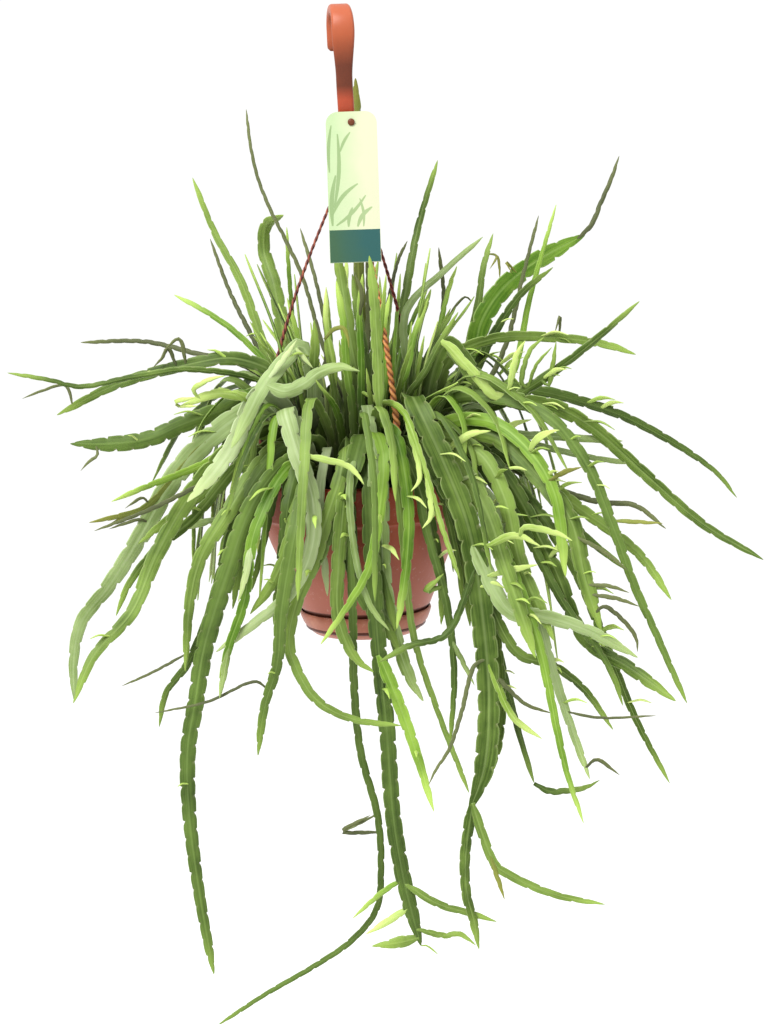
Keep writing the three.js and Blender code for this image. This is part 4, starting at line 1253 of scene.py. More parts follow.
        Strap(LEAF, 8.5, 2.5, ((66, -285), (96, -308), (142, -372), (168, -440), (186, -488), (209, -535)),
              bearing=-26),
        Strap(FRESH, 9, 6, ((56, -278), (88, -275), (112, -292), (132, -325), (139, -385)), bearing=-36),
        Strap(DEEP, 8, 3, ((68, -290), (124, -318), (152, -356), (184, -384)), bearing=-24),
        Strap(FRESH, 8, 2.5, ((52, -290), (77, -315), (99, -370), (119, -430), (131, -495), (137, -525),
              (148, -562)), bearing=-44),
        Strap(WHIP, 5, 2.5, ((64, -288), (90, -300), (130, -322), (165, -334), (188, -337), (209, -354)),
              bearing=-20),
        Strap(SAGE, 8.5, 4, ((56, -290), (88, -330), (113, -390), (128, -448), (140, -490), (153, -530)),
              bearing=-38),
        Strap(SAGE, 6, 4, ((66, -285), (118, -286), (150, -289), (180, -292)), bearing=-16),
        Strap(DEEP, 7, 3, ((60, -288), (100, -332), (138, -405), (160, -436), (172, -460), (177, -478)),
              bearing=-32),
        Strap(LEAF, 13, 7, ((50, -288), (65, -303), (85, -336), (97, -375), (107, -408), (117, -442)),
              bearing=-47),
    ],
}

# More straps of the hub and over the pot, in the dressed model alone
HUB_STRAPS: dict[str, list[Strap]] = {
    "stems_front_left": [
        Strap(DEEP, 9, 6, ((-30, -284, 58), (-44, -296, 66), (-50, -320, 66), (-53, -345, 62),
              (-57, -374, 60), (-61, -396, 58), (-64, -412, 58))),
        Strap(DEEP, 6.5, 3, ((-44, -290, 52), (-56, -306, 60), (-63, -332, 54), (-70, -358, 50),
              (-78, -387, 48))),
        Strap(DEEP, 9, 5, ((-6, -286, 60), (-8, -310, 80), (-13, -340, 82), (-18, -370, 82),
              (-23, -405, 80))),
        Strap(PALE, 6, 4, ((-22, -290, 58), (-28, -318, 76), (-28, -353, 76), (-27, -372, 74),
              (-26, -393, 72))),
        Strap(LIME, 5.5, 3, ((-18, -262, 40), (-16, -236, 40), (-20, -206, 40), (-19, -180, 40))),
    ],
    "stems_front": [
        Strap(DEEP, 12, 7, ((2, -282, 62), (-4, -300, 82), (-13, -324, 84), (-26, -353, 84),
              (-41, -381, 80), (-52, -404, 76), (-56, -422, 74))),
        Strap(SAGE, 8, 6, ((6, -262, 60), (8, -282, 72), (9, -304, 82), (7, -325, 82), (5, -342, 80))),
        Strap(DEEP, 8.5, 5, ((4, -288, 60), (7, -318, 80), (9, -341, 80), (12, -366, 78), (16, -394, 76),
              (20, -420, 74))),
        Strap(DEEP, 10, 7, ((-4, -288, 60), (-9, -320, 80), (-9, -354, 80), (-7, -379, 78), (2, -401, 76),
              (15, -419, 74), (24, -436, 72))),
        Strap(FRESH, 6, 4, ((-4, -262, 44), (-7, -236, 44), (-8, -206, 44), (-12, -176, 44))),
        Strap(FRESH, 5.5, 3, ((2, -262, 42), (3, -232, 42), (3, -200, 42), (6, -172, 42))),
    ],
    "stems_front_right": [
        Strap(LEAF, 9, 5, ((22, -285, 56), (34, -304, 76), (44, -335, 76), (50, -362, 72), (54, -392, 70),
              (52, -416, 66))),
        Strap(DEEP, 7, 4, ((30, -286, 54), (48, -306, 70), (60, -330, 64), (68, -360, 58), (72, -392, 56))),
        Strap(FRESH, 5.5, 3, ((16, -262, 42), (20, -236, 44), (19, -212, 44), (24, -186, 44))),
        Strap(FRESH, 5, 3, ((24, -262, 40), (34, -238, 44), (40, -214, 44), (50, -190, 44))),
        Strap(LEAF, 5, 3, ((30, -264, 40), (46, -240, 46), (56, -222, 46), (70, -200, 46))),
    ],
    "stems_left_front": [
        Strap(SAGE, 10.5, 8, ((-40, -286, 30), (-30, -262, 44), (-30, -240, 50), (-37.5, -219.5, 54),
              (-50, -230, 60), (-64, -246, 66), (-77, -268, 72), (-88, -288, 78))),
        Strap(LEAF, 8, 5, ((-48, -284, 42), (-66, -296, 50), (-82, -320, 52), (-94, -350, 50),
              (-100, -384, 48))),
        Strap(DEEP, 7, 4, ((-40, -284, 46), (-60, -300, 56), (-76, -330, 56), (-84, -362, 54),
              (-92, -400, 52))),
    ],
    "stems_right_front": [
        Strap(DEEP, 8, 4, ((40, -286, 30), (50, -300, 46), (58, -326, 50), (65, -356, 50), (70, -388, 48),
              (72, -418, 46))),
        Strap(DEEP, 6.5, 3, ((44, -286, 34), (60, -306, 52), (71, -334, 56), (79, -362, 54),
              (83, -396, 52))),
        Strap(LEAF, 5.5, 3, ((38, -284, 40), (48, -302, 60), (56, -328, 62), (61, -352, 60), (66, -380, 58),
              (67, -402, 56))),
    ],
    "stems_back": [
        Strap(OLIVE, 7, 6.5, ((6, -262, -50), (4, -200, -52), (3.5, -140, -54), (4.8, -90, -55),
              (5.4, -64, -56), (5.8, -42, -56))),
        Strap(LIME, 6, 3, ((-2, -262, -50), (-2, -228, -52), (-6, -190, -54), (-4, -158, -54))),
        Strap(FRESH, 5, 3, ((10, -262, -50), (13, -228, -52), (12, -190, -54), (17, -162, -54))),
    ],
}

# Fine shoots of the dressed model alone; each springs from the strap nearest its first point
FINE_SHOOTS = [
    Strap(OLIVE, 3, 1.5, ((172, -343), (195, -349), (207, -350))),
    Strap(WHIP, 3, 1.5, ((158, -390), (170, -393), (183, -398))),
    Strap(WHIP, 3, 1.5, ((160, -398), (175, -402), (190, -408))),
    Strap(WHIP, 3, 2, ((165, -407), (178, -417), (187, -430), (188, -440))),
    Strap(WHIP, 3, 1.5, ((151, -357), (165, -368), (182, -382))),
    Strap(WHIP, 3, 1.5, ((88, -452), (100, -466), (110, -475), (128, -482))),
    Strap(WHIP, 2, 1.2, ((140, -484), (160, -486), (200, -486))),
    Strap(WHIP, 3, 1.5, ((158, -516), (167, -522), (174, -528))),
    Strap(DEEP, 4.5, 2, ((112, -531), (117, -534), (125, -538), (135, -538), (150, -536), (160, -531))),
    Strap(SAGE, 3.6, 2, ((60, -430), (74, -460))),
    Strap(WHIP, 3, 1.5, ((75, -445), (64, -480), (55, -505), (45, -520), (40, -530))),
    Strap(OLIVE, 3.6, 2, ((80, -580), (85, -595), (88, -605), (91, -616))),
    Strap(WHIP, 3, 2, ((-22, -562), (-12, -556), (-2, -551))),
    Strap(LEAF, 2, 1.2, ((35, -648), (43, -655))),
    Strap(WHIP, 3, 1.2, ((-128, -218), (-132, -224), (-139, -231))),
    Strap(WHIP, 3, 1.2, ((-120, -212), (-131, -219))),
    Strap(WHIP, 2.4, 1.2, ((-199, -241), (-215, -244), (-229, -249))),
    Strap(WHIP, 2.4, 1.2, ((-180, -290), (-185, -293), (-192, -300))),
    Strap(OLIVE, 2.4, 1.2, ((-155, -333), (-175, -338))),
    Strap(LIME, 3.6, 2, ((-112, -247), (-100, -240), (-90, -238))),
    Strap(LIME, 3.6, 2, ((-125, -255), (-110, -252))),
    Strap(LIME, 3.6, 2, ((-123, -262), (-110, -258))),
    Strap(LEAF, 6.5, 4, ((-30, -240), (-28, -218), (-28, -202))),
    Strap(OLIVE, 3, 1.5, ((-22, -212), (-15, -209), (-9, -208), (-6, -213), (-5, -222))),
    Strap(WHIP, 3, 1.5, ((6, -200), (5, -185), (0, -170))),
    Strap(LEAF, 7, 5, ((12, -262), (14, -220), (13, -185), (11, -160))),
    Strap(OLIVE, 2, 1, ((97, -163), (92, -172))),
    Strap(OLIVE, 2, 1, ((97, -163), (99, -180))),
    Strap(OLIVE, 2, 1, ((103, -167), (107, -175))),
    Strap(WHIP, 2, 1, ((75, -190), (62, -205), (58, -215))),
    Strap(WHIP, 2, 1, ((139, -205), (135, -217))),
    Strap(LEAF, 3.6, 2, ((112, -250), (118, -228), (128, -219))),
    Strap(LEAF, 2.6, 1.5, ((113, -252), (122, -238), (133, -226))),
    Strap(LEAF, 3.4, 2, ((130, -252), (133, -240), (136, -222))),
    Strap(LIME, 4.5, 3, ((104, -250), (109, -230), (115, -221))),
    Strap(WHIP, 2, 1, ((-128, -432), (-150, -443), (-172, -452))),
    Strap(WHIP, 2, 1, ((-78, -452), (-112, -465), (-150, -472))),
    Strap(WHIP, 2, 1, ((0, -550), (-20, -562))),
    Strap(LIME, 5, 3, ((58, -295), (68, -288), (78, -283), (90, -282))),
    Strap(LIME, 5.5, 3, ((85, -292), (95, -286), (105, -278), (118, -275))),
    Strap(LIME, 5, 3, ((113, -298), (120, -290), (130, -284), (137, -283))),
    Strap(PALE, 3, 2, ((67, -315), (80, -311))),
    Strap(LIME, 4, 2.4, ((100, -311), (108, -308), (114, -310))),
    Strap(LIME, 4, 2.4, ((75, -338), (85, -335), (100, -335), (108, -339))),
    Strap(LIME, 5, 3, ((85, -360), (105, -355), (122, -363))),
    Strap(LIME, 4.5, 3, ((110, -350), (135, -355), (144, -360))),
    Strap(OLIVE, 4, 2, ((130, -314), (140, -312), (152, -309))),
    Strap(LIME, 5, 2.6, ((82, -385), (95, -380), (120, -376))),
    Strap(LIME, 4, 2, ((78, -390), (90, -388), (97, -392))),
    Strap(LIME, 3.4, 2, ((45, -313), (38, -317), (34, -322))),
    Strap(LIME, 3, 2, ((55, -331), (47, -331))),
    Strap(LIME, 3.2, 2, ((50, -337), (42, -346))),
    Strap(LEAF, 4.4, 2.4, ((42, -392), (55, -380))),
    Strap(SAGE, 9, 3, ((-62, -247), (-50, -250), (-38, -246), (-26, -238), (-12, -234.5), (2, -238))),
    Strap(PALE, 4, 2.4, ((-62, -240), (-45, -222), (-40, -215))),
    Strap(PALE, 4, 2.4, ((-40, -222), (-30, -235))),
    Strap(LIME, 3.6, 2.4, ((5, -254), (12, -258), (18, -268), (20, -276))),
    Strap(LIME, 4.6, 3, ((-35, -295), (-20, -299), (-10, -302), (-3, -308), (2, -316))),
    Strap(LIME, 7, 5, ((62, -222), (73, -235), (82, -245), (92, -257), (115, -262))),
    Strap(WHIP, 3, 1.5, ((-105, -310), (-145, -328), (-185, -342))),
    Strap(WHIP, 2.4, 1.2, ((-150, -320), (-163, -327))),
    Strap(WHIP, 2.4, 1.2, ((-152, -335), (-175, -341))),
    Strap(SAGE, 5, 3, ((-100, -335), (-130, -343))),
    Strap(PALE, 4.6, 3, ((-75, -350), (-83, -380), (-88, -395))),
    Strap(SAGE, 4.4, 2.4, ((-95, -430), (-101, -450), (-104, -463))),
]

# Straps that grow by rule beside a clump's own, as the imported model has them
GROWN = [2, 3, 3, 5, 5, 3, 0, 0, 0, 0, 0, 1]
GROWN_SEED = 5096
STRAND_CLUMP = 2
STRAND_SHIFT = 5.0
# A strap narrower than this is a slim, rounder shoot, in millimetres
BROAD = 4.6
# How far a fine shoot leans toward the camera from its root
SHOOT_LEAN = 5.0


def plug_bearing(index: int) -> float:
    """The bearing of a clump's plug, in degrees."""
    return index * 360 / CLUMPS


def seen_at_distance(x: float, z: float, toward: float) -> np.ndarray:
    """The point seen at x, z on the plane y = 0, at a distance in front of that plane."""
    share = 1 - toward / -EYE[1]
    return np.array([EYE[0] + (x - EYE[0]) * share, -toward, EYE[2] + (z - EYE[2]) * share])


def placed(point: tuple, bearing: float | None) -> np.ndarray:
    """Where a traced point stands.

    Args:
        point: x and z on the plane y = 0, and for some the distance in front of it.
        bearing: the upright plane it grows in, where no distance is given.

    Returns:
        The point, in millimetres.
    """
    if len(point) == 3:
        return seen_at_distance(*point)
    x, z = point
    slope = math.tan(math.radians(bearing))
    across = x / (1 - ((x - EYE[0]) * slope) / -EYE[1])
    return seen_at_distance(x, z, -across * slope)


@dataclass
class StemGrower:
    """Grows one strap's mesh along its path: notched margins, a rib and a pointed tip."""

    areole_gap: float = 12.5
    gap_spread: tuple[float, float] = (0.8, 1.3)
    slim_gap: float = 0.7
    notch: float = 0.25
    edge_thickness: float = 0.3
    body_thickness: float = 0.3
    slim_thickness: float = 1.2
    rib_height: float = 0.24
    rib_reach: float = 0.2
    root_width: float = 0.45
    shoot_root_width: float = 0.55
    fullness: float = 1.17
    taper: float = 2.4
    fold: float = 0.25
    ripple: float = 0.07
    ripple_turns: float = 2.6
    roll: tuple[float, float] = (0.16, 0.38)
    roll_run: float = 50.0
    young_run: tuple[float, float] = (3.0, 36.0)
    # From the root, where painted shade and darker old skin fade out, in millimetres
    old_and_shade_run: tuple[float, float] = (12.0, 75.0)
    heart_radius: tuple[float, float] = (46.0, 78.0)
    heart_height: tuple[float, float] = (-268.0, -222.0)

    # Spreads the notches' depths without a visible order
    NOTCH_STEP = 0.618
    # Where the rings stand between two areoles, the other margin's lying half way
    PHASES = (0.0, 0.2, 0.44, 0.5, 0.7, 0.94)
    SLIM_PHASES = (0.0, 0.25, 0.5, 0.75)
    # How far the last rings stand from the tip, and the least gap between two rings
    TIP_RINGS = (0.2, 1.0, 2.4, 4.6)
    LEAST_GAP = 0.4
    # The point's length, in tip widths and in millimetres beyond them, and how blunt it is
    POINT_LENGTH = (2.2, 6.0)
    POINT_POWER = 0.6
    # How far out on the section the notches and the areoles reach in
    NOTCHED = 0.6
    AREOLED = 0.8
    AREOLE_PHASE = 0.03
    # Across the strap from margin to margin and back, as a share of its half width
    SECTION = (1.0, 0.9, 0.52, 0.13, -0.13, -0.52, -0.9, -1.0, -0.9, -0.52, -0.13, 0.13, 0.52, 0.9)
    # How much of its facing a strap takes up and how much it keeps, from ring to ring
    TURNING = (0.3, 0.5)
    # A strap grown by rule faces out from the axis and up by this many millimetres
    FACE_RISE = 90.0

    def margin(self, run: float) -> float:
        """How full the margin is at a place between two areoles.

        Args:
            run: how many areole gaps along it is.

        Returns:
            A share of the half width.
        """
        phase = run % 1.0
        depth = self.notch * (0.5 + (math.floor(run) * self.NOTCH_STEP) % 1.0)
        return 1 - depth * (1 - smoothstep(phase, 0.0, 0.3)) - 0.35 * depth * phase

    def stations(self, length: float, gap: float, offset: float, slim: bool) -> list[float]:
        """Where a strap's rings stand: on its areoles, between them, and close together at the tip.

        Args:
            length: the strap's length.
            gap: from one areole to the next.
            offset: how many gaps the first areole lies back of the root.
            slim: whether it is a slim shoot.

        Returns:
            Lengths from the root, in order.
        """
        places = [(tooth + phase - offset) * gap for tooth in range(math.ceil(length / gap) + 2)
                  for phase in (self.SLIM_PHASES if slim else self.PHASES)]
        places += [length - left for left in self.TIP_RINGS]
        kept = [0.0]
        for place in sorted(places):
            if kept[-1] + self.LEAST_GAP < place < length - 0.1:
                kept.append(place)
        return [*kept, length]

    def grow(self, draft: MeshDraft, strap: Strap, path: SmoothPath, draw: SeededDraws,
             tone: Tone) -> None:
        """Adds a strap.

        Args:
            draft: where it is added.
            strap: its widths and how it faces.
            path: its centre line.
            draw: the row of draws for its small differences.
            tone: the look of its skin.
        """
        slim = strap.wide < BROAD
        gap = self.areole_gap * draw.within(*self.gap_spread) * (self.slim_gap if slim else 1.0)
        offset, own, phase_0 = draw(), draw(), WHOLE_TURN * draw()
        roll_size = draw.within(*self.roll)
        fold = 0.0 if slim else draw.within(-self.fold, self.fold)
        ripple = 0.0 if slim else self.ripple
        widths, beyond = self.POINT_LENGTH
        side = np.array([1.0, 0.0, 0.0])
        rings, skins = [], []
        for along in self.stations(path.length, gap, offset, slim):
            share, left = along / path.length, path.length - along
            centre, tangent = path.at(share), path.tangent(share)
            side = self._turned(side, centre, tangent, bool(strap.route))
            roll = roll_size * math.sin(phase_0 + along / self.roll_run)
            across = side * math.cos(roll) + unit(np.cross(tangent, side)) * math.sin(roll)
            front = unit(np.cross(tangent, across))
            point = min(1.0, (left + 0.1) / (widths * strap.tip + beyond)) ** self.POINT_POWER
            half = self._half_width(strap, along, share)
            run = along / gap + offset
            wave = ripple * half * math.sin(self.ripple_turns * run + phase_0)
            young = 0.0 if strap.key else 1 - smoothstep(left, *self.young_run)
            # Painted shade in the heart of the plant and near the roots, with darker old skin there; none
            # on side shoots
            old = 0.0 if strap.grows_from else max(self._shaded(centre),
                                                   1 - smoothstep(along, *self.old_and_shade_run))
            ring, skin = [], []
            for number, place in enumerate(self.SECTION):
                here = run if place > 0 else run + 0.5
                out = place * half * point * (self.margin(here) if abs(place) > self.NOTCHED else 1.0)
                lift = (self._lift(number, place, half, point, slim) + fold * abs(place) * half * point
                        + wave * place * abs(place))
                ring.append(centre + across * out + front * lift)
                areole = (abs(place) > self.AREOLED
                          and min(here % 1.0, 1 - here % 1.0) < self.AREOLE_PHASE)
                skin.append((share, place, own, young, old, float(areole)))
            rings.append(ring)
            skins.append(skin)
        draft.tube(rings, TONE_NUMBER[tone], skins)

    def _turned(self, side: np.ndarray, centre: np.ndarray, tangent: np.ndarray,
                ruled: bool) -> np.ndarray:
        """Turns a strap a little toward the way that it faces.

        Args:
            side: the direction from its middle to a margin, one ring back.
            centre: the ring's centre.
            tangent: the strap's direction there.
            ruled: whether it is grown by rule, and faces outward instead of the camera.

        Returns:
            The direction at this ring.
        """
        view = unit(np.array([centre[0], centre[1], self.FACE_RISE])) if ruled else np.array([0, 1.0, 0])
        across = np.cross(tangent, view)
        if across.dot(side) < 0:
            across = -across
        taken, kept = self.TURNING
        side = across * taken + side * kept
        return unit(side - tangent * tangent.dot(side))

    def _half_width(self, strap: Strap, along: float, share: float) -> float:
        """A strap's half width before its notches and its point, narrow at the root.

        Args:
            strap: the strap.
            along: the length from its root.
            share: that length as a share of the whole.

        Returns:
            The half width.
        """
        narrow, grown = ((self.shoot_root_width, smoothstep(along, 0.0, 12.0)) if strap.grows_from
                         else (self.root_width, smoothstep(share, 0.05, 0.34)))
        root = narrow + (1 - narrow) * grown
        return (strap.wide + (strap.tip - strap.wide) * share ** self.taper) / 2 * root * self.fullness

    def _shaded(self, at: np.ndarray) -> float:
        """How far a place is in the heart of the plant, where the stems get painted shade, from 0 outside
        it to 1.
        """
        return ((1 - smoothstep(math.hypot(at[0], at[1]), *self.heart_radius))
                * (1 - smoothstep(at[2], *self.heart_height)))

    def _lift(self, number: int, place: float, half: float, point: float, slim: bool) -> float:
        """How far a point of the section stands off the strap's middle plane.

        Args:
            number: which point of the section it is.
            place: its share of the half width.
            half: the half width.
            point: how much of the strap the tip leaves.
            slim: whether it is a slim shoot, which is rounder.

        Returns:
            The distance in millimetres, below zero at the back.
        """
        if abs(place) == 1.0:
            return 0.0
        if slim:
            thick = min(self.slim_thickness, 0.5 * half) * math.sqrt(1 - (place * 0.95) ** 2)
        else:
            thick = (self.edge_thickness + self.body_thickness * (1 - place * place)
                     + self.rib_height * math.exp(-((place / self.rib_reach) ** 2)))
        return thick * (0.4 + 0.6 * point) * (1 if 0 < number < 7 else -1)


@dataclass
class Thicket:
    """What crowds the hub in the dressed model alone: straps grown by rule, and side shoots."""

    upright: tuple[int, ...] = (4, 6, 7, 7, 7, 6, 4, 3, 3, 3, 4, 5)
    drooping: tuple[int, ...] = (7, 7, 6, 6, 6, 7, 7, 4, 3, 2, 3, 6)
    side_shoots: tuple[int, ...] = (3, 1, 0, 0, 0, 1, 2, 1, 1, 1, 2, 3)
    seed: int = 2213
    shoot_seed: int = 2713

    UPRIGHT_TONES = (FRESH, LEAF, FRESH, DEEP, LIME, LEAF)
    DROOPING_TONES = (LEAF, DEEP, FRESH, SAGE, LEAF)
    SHOOT_TONES = (FRESH, LIME, LEAF, LIME)
    # A strap needs this width and this length before side shoots spring from it
    PARENT_WIDTH = 7
    PARENT_LENGTH = 110

    def straps(self, index: int) -> list[Strap]:
        """The straps of a clump's thicket.

        Args:
            index: the clump's number.

        Returns:
            Upright ones, then drooping ones.
        """
        draw = SeededDraws(self.seed + 17 * index)
        made = []
        for order in range(self.upright[index]):
            bearing = plug_bearing(index) + draw.within(-17, 17)
            foot = draw.within(32, 48)
            reach = foot + draw.within(6, 62, 1.4)
            top = draw.within(-246, -154, 1.5)
            bend = draw.within(-7, 7)
            route = (on_circle(foot, bearing, -288),
                     on_circle(foot + 0.3 * (reach - foot), bearing + 0.4 * bend, 0.5 * top - 140),
                     on_circle(reach, bearing + bend, top))
            tone = self.UPRIGHT_TONES[order % len(self.UPRIGHT_TONES)]
            made.append(Strap(tone, draw.within(3.4, 6.8), 2.4, route=route))
        for order in range(self.drooping[index]):
            bearing = plug_bearing(index) + draw.within(-16, 16)
            arch = draw.within(66, 86)
            height = draw.within(-270, -246)
            reach = arch + draw.within(14, 54)
            drop = draw.within(40, 150)
            route = (on_circle(47, bearing, -286), on_circle(arch, bearing, height),
                     on_circle((arch + reach) / 2 + 5, bearing + 2, height - 0.35 * drop),
                     on_circle(reach, bearing + draw.within(-2.5, 2.5), height - drop))
            tone = self.DROOPING_TONES[order % len(self.DROOPING_TONES)]
            made.append(Strap(tone, draw.within(5, 9), 3, route=route))
        return made

    def shoots(self, index: int,
               lines: list[tuple[Strap, SmoothPath]]) -> list[tuple[Strap, SmoothPath]]:
        """The side shoots of a clump's broad straps.

        Args:
            index: the clump's number.
            lines: its straps with their centre lines.

        Returns:
            The shoots with theirs.
        """
        draw = SeededDraws(self.shoot_seed + 17 * index)
        made = []
        for strap, path in lines:
            if strap.wide < self.PARENT_WIDTH or path.length < self.PARENT_LENGTH:
                continue
            for order in range(self.side_shoots[index]):
                root = path.at(draw.within(0.35, 0.85))
                outward = unit(np.array([root[0], root[1], 0.0]))
                aim = unit(outward + np.array([draw.within(-0.4, 0.4), draw.within(0, -0.5),
                                               draw.within(-0.35, 0.55)]))
                reach = draw.within(9, 26, 1.5)
                middle = root + aim * reach * 0.55 + np.array([0, 0, 0.12 * reach])
                tone = self.SHOOT_TONES[order % len(self.SHOOT_TONES)]
                shoot = Strap(tone, draw.within(2.4, 4.2), 1.6, grows_from="strap", route=(root,))
                made.append((shoot, SmoothPath([root, middle, root + aim * reach])))
        return made


@dataclass
class Clump:
    """One clump on its way to a mesh: its straps, each with its centre line."""

    name: str
    index: int
    lines: list[tuple[Strap, SmoothPath]] = field(default_factory=list)

    # Where along a strap a shoot may spring, as shares of its length
    STEPS = [step / 40 for step in range(3, 41)]
    # How much nearer a place counts for each millimetre that it stands in front
    IN_FRONT = 0.06

    def nearest(self, x: float, z: float) -> tuple[float, np.ndarray]:
        """The place on its broad straps that lies nearest a point in the photo's view.

        Args:
            x: the point's place across, as seen on the plane y = 0.
            z: its height there.

        Returns:
            How far off it looks, less a little for lying in front, and the place.
        """
        best = (math.inf, np.zeros(3))
        for path in (path for strap, path in self.lines if strap.wide >= BROAD):
            for place in (path.at(step) for step in self.STEPS):
                share = EYE[1] / (EYE[1] - place[1])
                seen_x, _, seen_z = EYE + (place - EYE) * share
                score = math.hypot(seen_x - x, seen_z - z) + self.IN_FRONT * place[1]
                if score < best[0]:
                    best = (score, place)
        return best


@dataclass
class Plant:
    """The whole plant: twelve clumps that stand in the soil, each made as one piece."""

    grower: StemGrower
    thicket: Thicket
    tone_seed: int = 977
    root_ball: PeatSoil = PeatSoil("root ball, damp peat")

    # Tones for straps that name none, each up to its limit of chance
    SLIM_TONES = ((0.45, WHIP), (0.75, LIME), (1.0, OLIVE))
    BROAD_TONES = ((0.25, SAGE), (0.55, LEAF), (0.94, DEEP), (1.0, LIME))

    def build(self) -> None:
        """Builds every clump with its plug, its traced straps, its grown ones and its fine shoots."""
        materials = [*(skin.make() for skin in STEM_SKINS), self.root_ball.make()]
        clumps = [self._planned(index, name) for index, name in enumerate(CLUMP_STRAPS)]
        for shoot in FINE_SHOOTS:
            self._sprung(shoot, clumps)
        for clump in clumps:
            self._made(clump, materials)

    def _planned(self, index: int, name: str) -> Clump:
        """Lays out a clump's centre lines.

        Args:
            index: its number round the pot.
            name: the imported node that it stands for.

        Returns:
            The clump.
        """
        clump = Clump(name, index)
        draw = SeededDraws(GROWN_SEED + index)
        grown = [self._grown(index, order, draw) for order in range(GROWN[index])]
        paths: dict[str, SmoothPath] = {}
        for strap in [*CLUMP_STRAPS[name], *grown, *HUB_STRAPS.get(name, [])]:
            path = self._path(strap, index, paths)
            if strap.key:
                paths[strap.key] = path
            clump.lines.append((strap, path))
        clump.lines += self.thicket.shoots(index, clump.lines)
        clump.lines += [(strap, self._path(strap, index, paths))
                        for strap in self.thicket.straps(index)]
        return clump

    def _sprung(self, shoot: Strap, clumps: list[Clump]) -> None:
        """Lets a fine shoot spring from the strap that lies nearest its first point.

        Args:
            shoot: the shoot, which leans toward the camera from its root.
            clumps: the clumps, one of which gets it.
        """
        found = [(*clump.nearest(*shoot.at[0]), clump) for clump in clumps]
        _, root, clump = min(found, key=lambda entry: entry[0])
        points = [seen_at_distance(x, z, -root[1] + SHOOT_LEAN * (number + 1) / len(shoot.at))
                  for number, (x, z) in enumerate(shoot.at)]
        path = SmoothPath([root, *points[1 if math.dist(root, points[0]) < BROAD else 0:]])
        clump.lines.append((replace(shoot, grows_from="nearest"), path))

    def _made(self, clump: Clump, materials: list) -> None:
        """Makes a clump's mesh.

        Args:
            clump: the clump.
            materials: the stem skins and the root ball's peat.
        """
        draft = MeshDraft()
        at = on_circle(PLUG_RING, plug_bearing(clump.index))
        r, foot = PLUG_RADIUS - 0.2, SOIL_TOP - PLUG_DEPTH
        draft.turned([(0, foot), (r, foot), (r, SOIL_TOP + 1.5), (r - 1.5, SOIL_TOP + 3.4),
                      (r - 5, SOIL_TOP + 4), (0, SOIL_TOP + 4)],
                     20, len(materials) - 1, (at[0], at[1]))
        draw = SeededDraws(self.tone_seed + 31 * clump.index)
        for strap, path in clump.lines:
            self.grower.grow(draft, strap, path, draw, strap.tone or self._tone(strap, draw))
        settle(draft.build(clump.name + "_clump", materials), "stem", clump.name)

    def _tone(self, strap: Strap, draw: SeededDraws) -> Tone:
        """Draws a tone for a strap that names none.

        Args:
            strap: the strap.
            draw: the row of draws.

        Returns:
            The tone.
        """
        chance = draw()
        choices = self.SLIM_TONES if strap.wide < BROAD else self.BROAD_TONES
        return next(tone for limit, tone in choices if chance <= limit)

    def _grown(self, index: int, order: int, draw: SeededDraws) -> Strap:
        """A strap grown by rule: up from the plug, over an arch and down to a hanging tip.

        Args:
            index: the clump's number.
            order: which of its grown straps it is.
            draw: the clump's row of draws.

        Returns:
            The strap with its route.
        """
        spread = ((order + 0.5) / GROWN[index] - 0.5) * (264 / CLUMPS)
        beside = STRAND_SHIFT if index == STRAND_CLUMP else 0.0
        bearing = plug_bearing(index) + spread + beside + draw.within(-1, 1)
        arch = draw.within(70, 104)
        height = draw.within(-258, -228)
        reach = arch + draw.within(26, 88)
        drop = 60 + 190 * draw() * draw()
        return Strap(None, draw.within(6.5, 11.5), draw.within(3, 5), route=(
            on_circle(54, bearing, -282), on_circle(arch, bearing, height),
            on_circle((arch + reach) / 2 + 6, bearing, height - 0.32 * drop),
            on_circle(reach, bearing, height - drop)))

    def _path(self, strap: Strap, index: int, paths: dict[str, SmoothPath]) -> SmoothPath:
        """A strap's centre line, up from its plug or out of the strap that it grows from.

        Args:
            strap: the strap.
            index: the clump's number.
            paths: the keyed straps' centre lines so far.

        Returns:
            The centre line.
        """
        points = list(strap.route) or [placed(point, strap.bearing) for point in strap.at]
        if strap.grows_from:
            return SmoothPath([paths[strap.grows_from].at(strap.share), *points])
        plug = on_circle(PLUG_RING, plug_bearing(index))
        aim = points[0] - plug
        aim[2] = 0
        aim = unit(aim) * 3
        return SmoothPath([plug + aim * 0.6 + [0, 0, SOIL_TOP - 12],
                           plug + aim * 1.2 + [0, 0, SOIL_TOP + 10], *points])


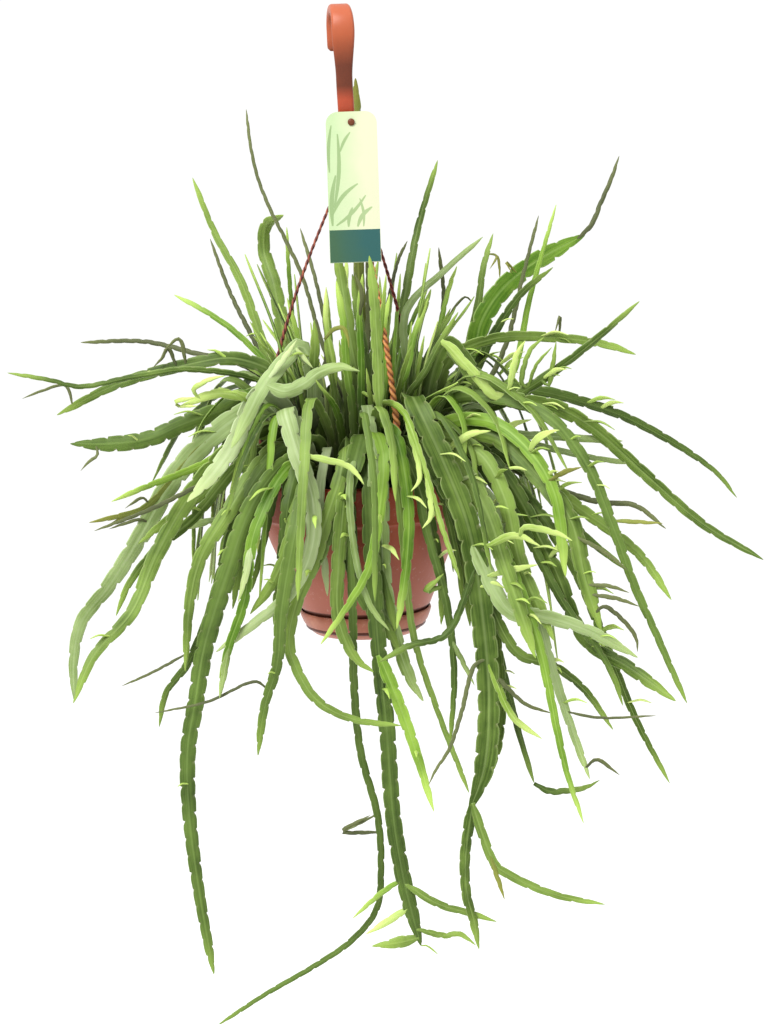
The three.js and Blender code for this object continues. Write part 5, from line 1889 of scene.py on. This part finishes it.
@dataclass
class Studio:
    """A pale floor well below the hanging pot, soft light from all round and the camera."""

    floor_height: float = -1.7
    floor_size: float = 60.0
    surround: float = 1.04
    aim: tuple[float, float, float] = (0, 0, -0.33)

    def build(self) -> None:
        """Builds the floor, the lights and the camera."""
        self._floor()
        self._light("key_light", (-1.3, -1.9, 2.0), 1.7, 190.0)
        self._light("fill_light", (2.2, -1.2, 0.6), 2.0, 14.0)
        self._sky()
        self._camera()

    def _floor(self) -> None:
        """Builds the floor."""
        half, z = self.floor_size / 2, self.floor_height
        mesh = bpy.data.meshes.new("studio_floor")
        mesh.from_pydata([(-half, -half, z), (half, -half, z), (half, half, z), (-half, half, z)],
                         [], [(0, 1, 2, 3)])
        paint = Paint("pale studio paper, matt")
        colour = paint.ramp(paint.noise(0.6), [(0.0, "fdfdfc"), (1.0, "ffffff")])
        mesh.materials.append(paint.finish(colour, {"Roughness": 0.95, "Specular IOR Level": 0.0}))
        link("studio_floor", mesh)

    def _light(self, name: str, at: tuple[float, float, float], size: float, power: float) -> None:
        """Adds a soft square light that faces the plant.

        Args:
            name: its name.
            at: where it stands, in metres.
            size: its side, in metres.
            power: its power, in watts.
        """
        data = bpy.data.lights.new(name, "AREA")
        data.size, data.energy = size, power
        lamp = link(name, data)
        lamp.location = at
        lamp.rotation_euler = (Vector(self.aim) - Vector(at)).to_track_quat("-Z", "Y").to_euler()

    def _sky(self) -> None:
        """Sets an even white surround."""
        world = bpy.data.worlds.new("studio surround")
        world.use_nodes = True
        shade = world.node_tree.nodes["Background"]
        shade.inputs["Color"].default_value = (1.0, 1.0, 1.0, 1.0)
        shade.inputs["Strength"].default_value = self.surround
        bpy.context.scene.world = world

    def _camera(self) -> None:
        """Stands the camera at the photograph's eye, with its pitch and its slight roll."""
        pitch, roll = math.radians(CAMERA_PITCH), math.radians(CAMERA_ROLL)
        ahead = Vector((0, math.cos(pitch), -math.sin(pitch)))
        level_up = Vector((0, math.sin(pitch), math.cos(pitch)))
        right = Vector((1, 0, 0)) * math.cos(roll) - level_up * math.sin(roll)
        up = level_up * math.cos(roll) + Vector((1, 0, 0)) * math.sin(roll)
        data = bpy.data.cameras.new("photo_camera")
        data.lens, data.sensor_width = CAMERA_LENS, 36.0
        camera = link("photo_camera", data)
        camera.matrix_world = (Matrix.Translation(CAMERA_EYE)
                               @ Matrix((right, up, -ahead)).transposed().to_4x4())
        bpy.context.scene.camera = camera


def main() -> None:
    """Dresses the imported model."""
    logging.basicConfig(level=logging.INFO, format="%(name)s: %(message)s")
    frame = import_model()
    LOG.info("the packed model has %d nodes", len(frame["nodes"]))
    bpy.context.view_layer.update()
    for part in (Studio(), HangingPot(), ClipSaucer(), SoilBed(), MouldedHook(), PotStrands(),
                 PlantLabel(), Plant(StemGrower(), Thicket())):
        part.build()
    bpy.context.scene.view_settings.view_transform = "Standard"
    bpy.context.view_layer.update()


if __name__ == "__main__":
    main()
